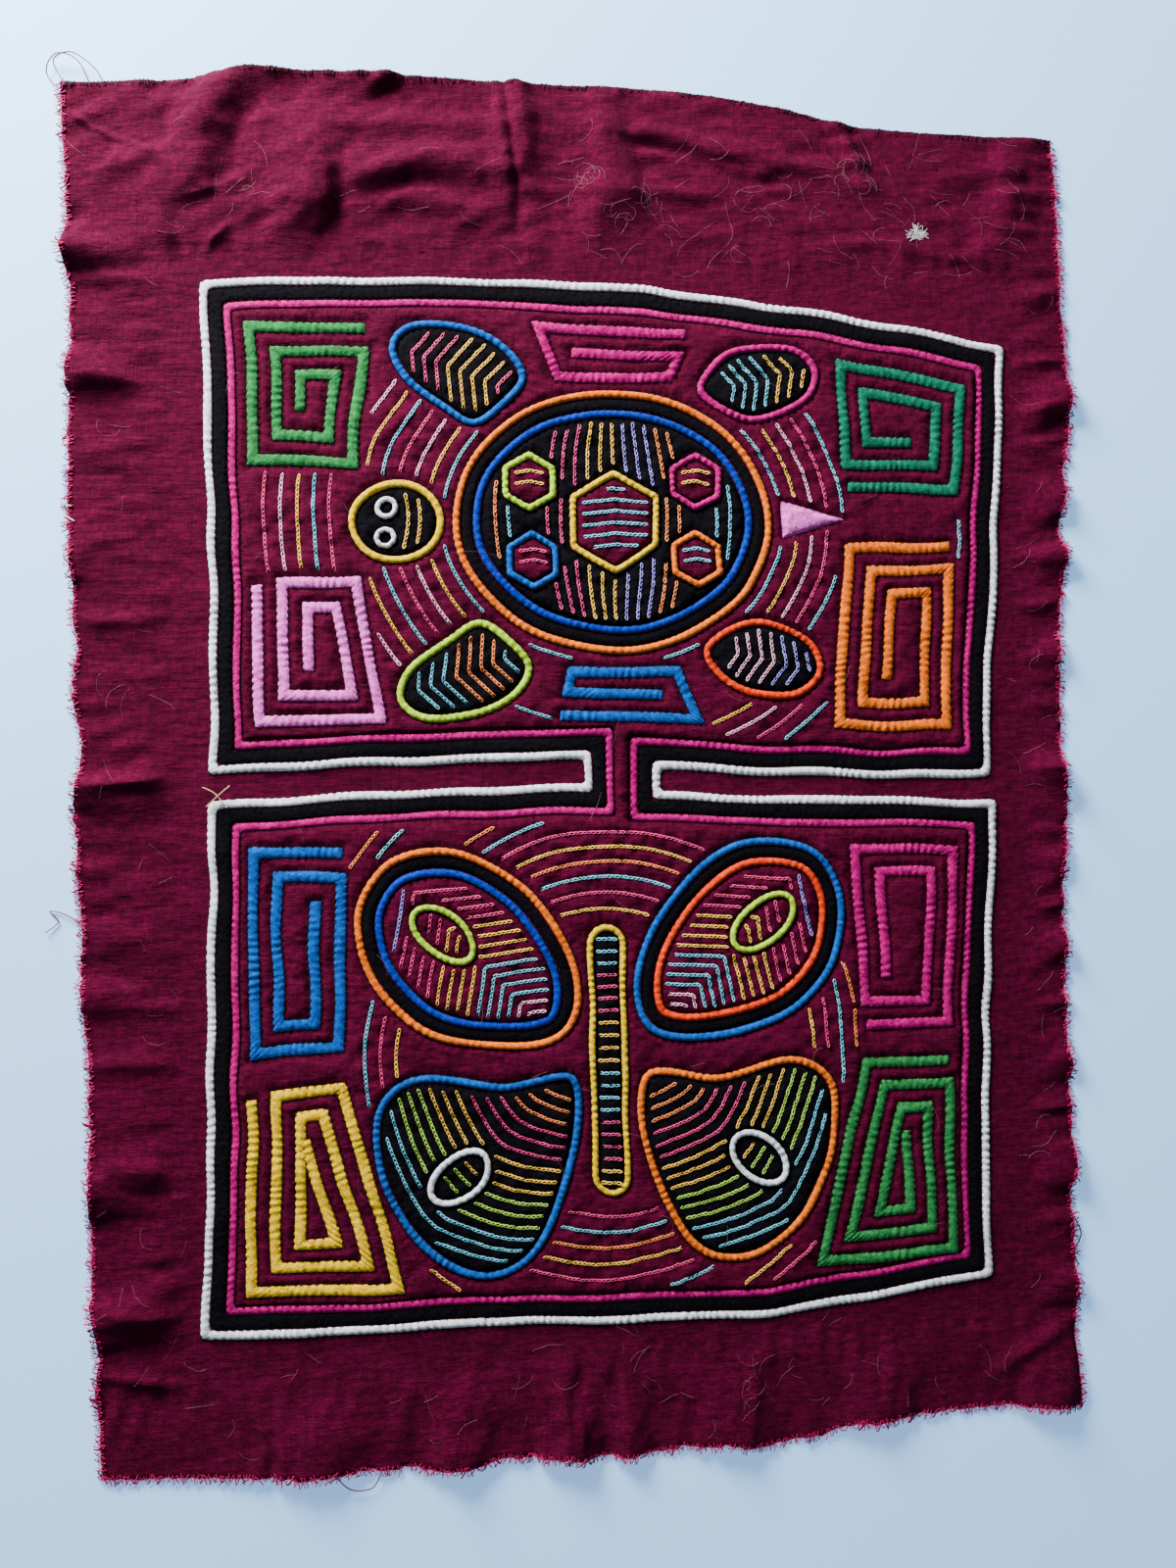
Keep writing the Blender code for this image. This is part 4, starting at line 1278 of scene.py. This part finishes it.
for colour, lines in sorted(stitch_rows.items()):
    chain.work("chain_stitch_" + colour, lines, thread(colour + "_thread", THREAD_COLOURS[colour]))

# Whip stitches
# Short slanting stitches over every turned edge, about 3 mm apart, in fine dark burgundy thread
# that sinks into the cloth.
WHIP_LENGTH = 1.3
WHIP_RADIUS = 0.17
whip_tree = ThreadTree("whip_stitch", {
    "Stitch pitch": STITCH_PITCH * MM, "Stitch length": WHIP_LENGTH * MM,
    "Thread radius": WHIP_RADIUS * MM,
})
half = whip_tree.maths("MULTIPLY", whip_tree.given["Stitch length"], 0.5)
back = whip_tree.maths("MULTIPLY", half, -1.0)
bar = whip_tree.add("CurvePrimitiveLine", {
    "Start": whip_tree.vector(0.0, back, 0.0), "End": whip_tree.vector(0.0, half, 0.0002),
})[0]
whip_tree.along_lines(whip_tree.given["Stitch pitch"], whip_tree.tube(bar), (0.5, 0.5), 0.8, 1.2)
whip_thread = thread("dark_burgundy_thread", (0.022, 0.001, 0.006), 0.05)
whip_tree.work("whip_stitches", whip_lines, whip_thread)

# Frayed edge
# The raw edges shed their outermost threads: short burgundy ends stick out at both sides and the
# bottom. The upper edge is nearly clean, with only a few short dark fibres; their dark thread also
# stands as painted shade along that edge.
FRAY_PITCH = 0.44
FRAY_LENGTH = 2.6
TOP_FRAY_LENGTH = 0.5
FRAY_RADIUS = 0.23
# How far inside the edge a fibre starts
FRAY_ROOT = 1.8
fray_tree = ThreadTree("frayed_edge", {
    "Fray pitch": FRAY_PITCH * MM, "Fray length": FRAY_LENGTH * MM, "Thread radius": FRAY_RADIUS * MM,
})
aside, half_way, full_way = (
    fray_tree.maths("MULTIPLY", fray_tree.given["Fray length"], share) for share in (0.3, -0.5, -1.0)
)
fray = fray_tree.add("CurveQuadraticBezier", {
    "Resolution": 3,
    "Start": fray_tree.vector(0.0, FRAY_ROOT * MM, 0.0002),
    "Middle": fray_tree.vector(aside, half_way, 0.0),
    "End": fray_tree.vector(0.0, full_way, -0.0003),
})[0]
fray_tree.along_lines(fray_tree.given["Fray pitch"], fray_tree.tube(fray), (0.0, 1.7), 0.25, 1.15)
fray_thread = thread("burgundy_fray", (0.36, 0.003, 0.070), 0.1)
EDGE_NAMES = ("bottom", "right", "top", "left")
for name, line in zip(EDGE_NAMES, raw_edges):
    rise = cloth_rise(line[:, 0], line[:, 1]) + CLOTH
    path = np.column_stack([line, rise]) * MM
    # The upper edge's short fibres are real fray, and their dark thread is partly painted shade along that
    # edge
    if name == "top":
        fray_tree.work("frayed_edge_" + name, [path], whip_thread, Fray_length=TOP_FRAY_LENGTH * MM)
    else:
        fray_tree.work("frayed_edge_" + name, [path], fray_thread)

# Loose threads and lint
# Two loops of pink basting thread hang at the upper left corner, a few cut ends stick out of the
# sides, and pale hairs and specks of fluff cling to the cloth.
# Columns: colour, points along the thread with their height over the cloth
LOOSE_THREADS = (
    ("basting", ((-201, 272, 1), (-205, 281, 2), (-198, 284, 3), (-190, 279, 2), (-187, 274, 1))),
    ("basting", ((-203, 270, 1), (-208, 277, 1), (-204, 284, 2), (-196, 281, 3), (-192, 273, 1))),
    ("burgundy", ((-202, -57, 0.8), (-209, -51, 0.6), (-216, -49, 0.4), (-213, -53, 0.4), (-218, -57, 0.4))),
    ("fluff", ((-203, 103, 1), (-207, 106, 1.4), (-208, 110, 1), (-204, 109, 1.2))),
    ("burgundy", ((-112, -276, 0.8), (-106, -284, 0.5), (-98, -285, 0.5), (-94, -279, 0.8))),
    ("dark", ((199, -195, 0.8), (203, -203, 0.5), (200, -210, 0.6), (202, -216, 0.5))),
    ("beige", ((-156, -2, 2.4), (-151, -5, 3.2), (-147, -11, 2.6))),
    ("beige", ((-155, -10, 2.4), (-150, -6, 3.4), (-145, -2, 2.6))),
)
LOOSE_COLOURS = {
    "basting": (0.28, 0.03, 0.26), "burgundy": (0.16, 0.012, 0.040), "fluff": (0.62, 0.56, 0.58),
    "dark": (0.02, 0.012, 0.020), "beige": (0.60, 0.42, 0.22), "hair": (0.34, 0.14, 0.17),
}
LOOSE_RADIUS = 0.30
HAIR_RADIUS = 0.030
FLUFF_RADIUS = 0.13
HAIR_LENGTH = 13
HAIR_STEP = 1.6
# Columns: lowest and highest x, lowest and highest y, number of hairs
HAIR_PLACES = (
    (-195, 192, 205, 262, 45), (-10, 190, 205, 258, 70), (-195, 192, -268, -232, 45),
    (-198, -165, -230, 200, 30), (180, 194, -230, 200, 25), (-140, 160, -200, 180, 40),
)
# Columns: x, y, spread, number of hairs
TANGLES = ((22, 231, 4, 16), (1, 243, 4, 10), (112, 245, 4, 10), (-130, 236, 3, 5), (60, -258, 4, 7))
FLUFF_PLACE = (141, 223)

loose_tree = ThreadTree("loose_thread", {"Thread radius": LOOSE_RADIUS * MM})
lines = loose_tree.add("MeshToCurve", {"Mesh": loose_tree.given["Geometry"]})[0]
loose_tree.finish(loose_tree.tube(lines))


def curled(points, steps=8):
    """Open line that runs smoothly through the points, each with its height."""
    points = [Vector(point) for point in points]
    points = [points[0]] + points + [points[-1]]
    line = []
    for near_points in zip(points, points[1:], points[2:], points[3:]):
        line += smooth_run(*near_points, steps)
    line = np.array(line + [tuple(points[-1])])
    return placed(line[:, 0], line[:, 1], line[:, 2])


loose = {}
for colour, points in LOOSE_THREADS:
    loose.setdefault(colour, []).append(curled(points))
for colour, threads in sorted(loose.items()):
    dyed = thread("loose_" + colour, LOOSE_COLOURS[colour])
    loose_tree.work("loose_threads_" + colour, threads, dyed)

draw = np.random.default_rng(51)


def hair(start, longest, curl):
    """A thin hair that lies on the cloth in an uneven arc."""
    x, y, heading = *start, draw.uniform(0, math.tau)
    turn = draw.normal(0, curl)
    sewn = SEWN_LOW[0] + 12 < x < SEWN_HIGH[0] and SEWN_LOW[1] < y < SEWN_HIGH[1]
    top = 2.6 if sewn else CLOTH + 0.1
    line = []
    for step in range(int(draw.uniform(0.3, 1) * longest / HAIR_STEP) + 2):
        line.append((x, y, top + 0.25 * math.sin(0.9 * step) ** 2))
        x, y = x + HAIR_STEP * math.cos(heading), y + HAIR_STEP * math.sin(heading)
        heading += turn + draw.normal(0, 0.10)
    line = np.array(line)
    return placed(line[:, 0], line[:, 1], line[:, 2])


hairs = []
for low_x, high_x, low_y, high_y, count in HAIR_PLACES:
    for _ in range(count):
        start = draw.uniform(low_x, high_x), draw.uniform(low_y, high_y)
        hairs.append(hair(start, HAIR_LENGTH, 0.16))
for x, y, spread, count in TANGLES:
    for _ in range(count):
        hairs.append(hair(draw.normal((x, y), spread), 4 * spread, 0.5))
pale_hair = thread("pale_hair", LOOSE_COLOURS["hair"])
loose_tree.work("lint_hairs", hairs, pale_hair, Thread_radius=HAIR_RADIUS * MM)
tuft = [hair(draw.normal(FLUFF_PLACE, 0.9), 4, 0.5) for _ in range(40)]
white_fluff = thread("white_fluff", LOOSE_COLOURS["fluff"])
loose_tree.work("fluff_tuft", tuft, white_fluff, Thread_radius=FLUFF_RADIUS * MM)
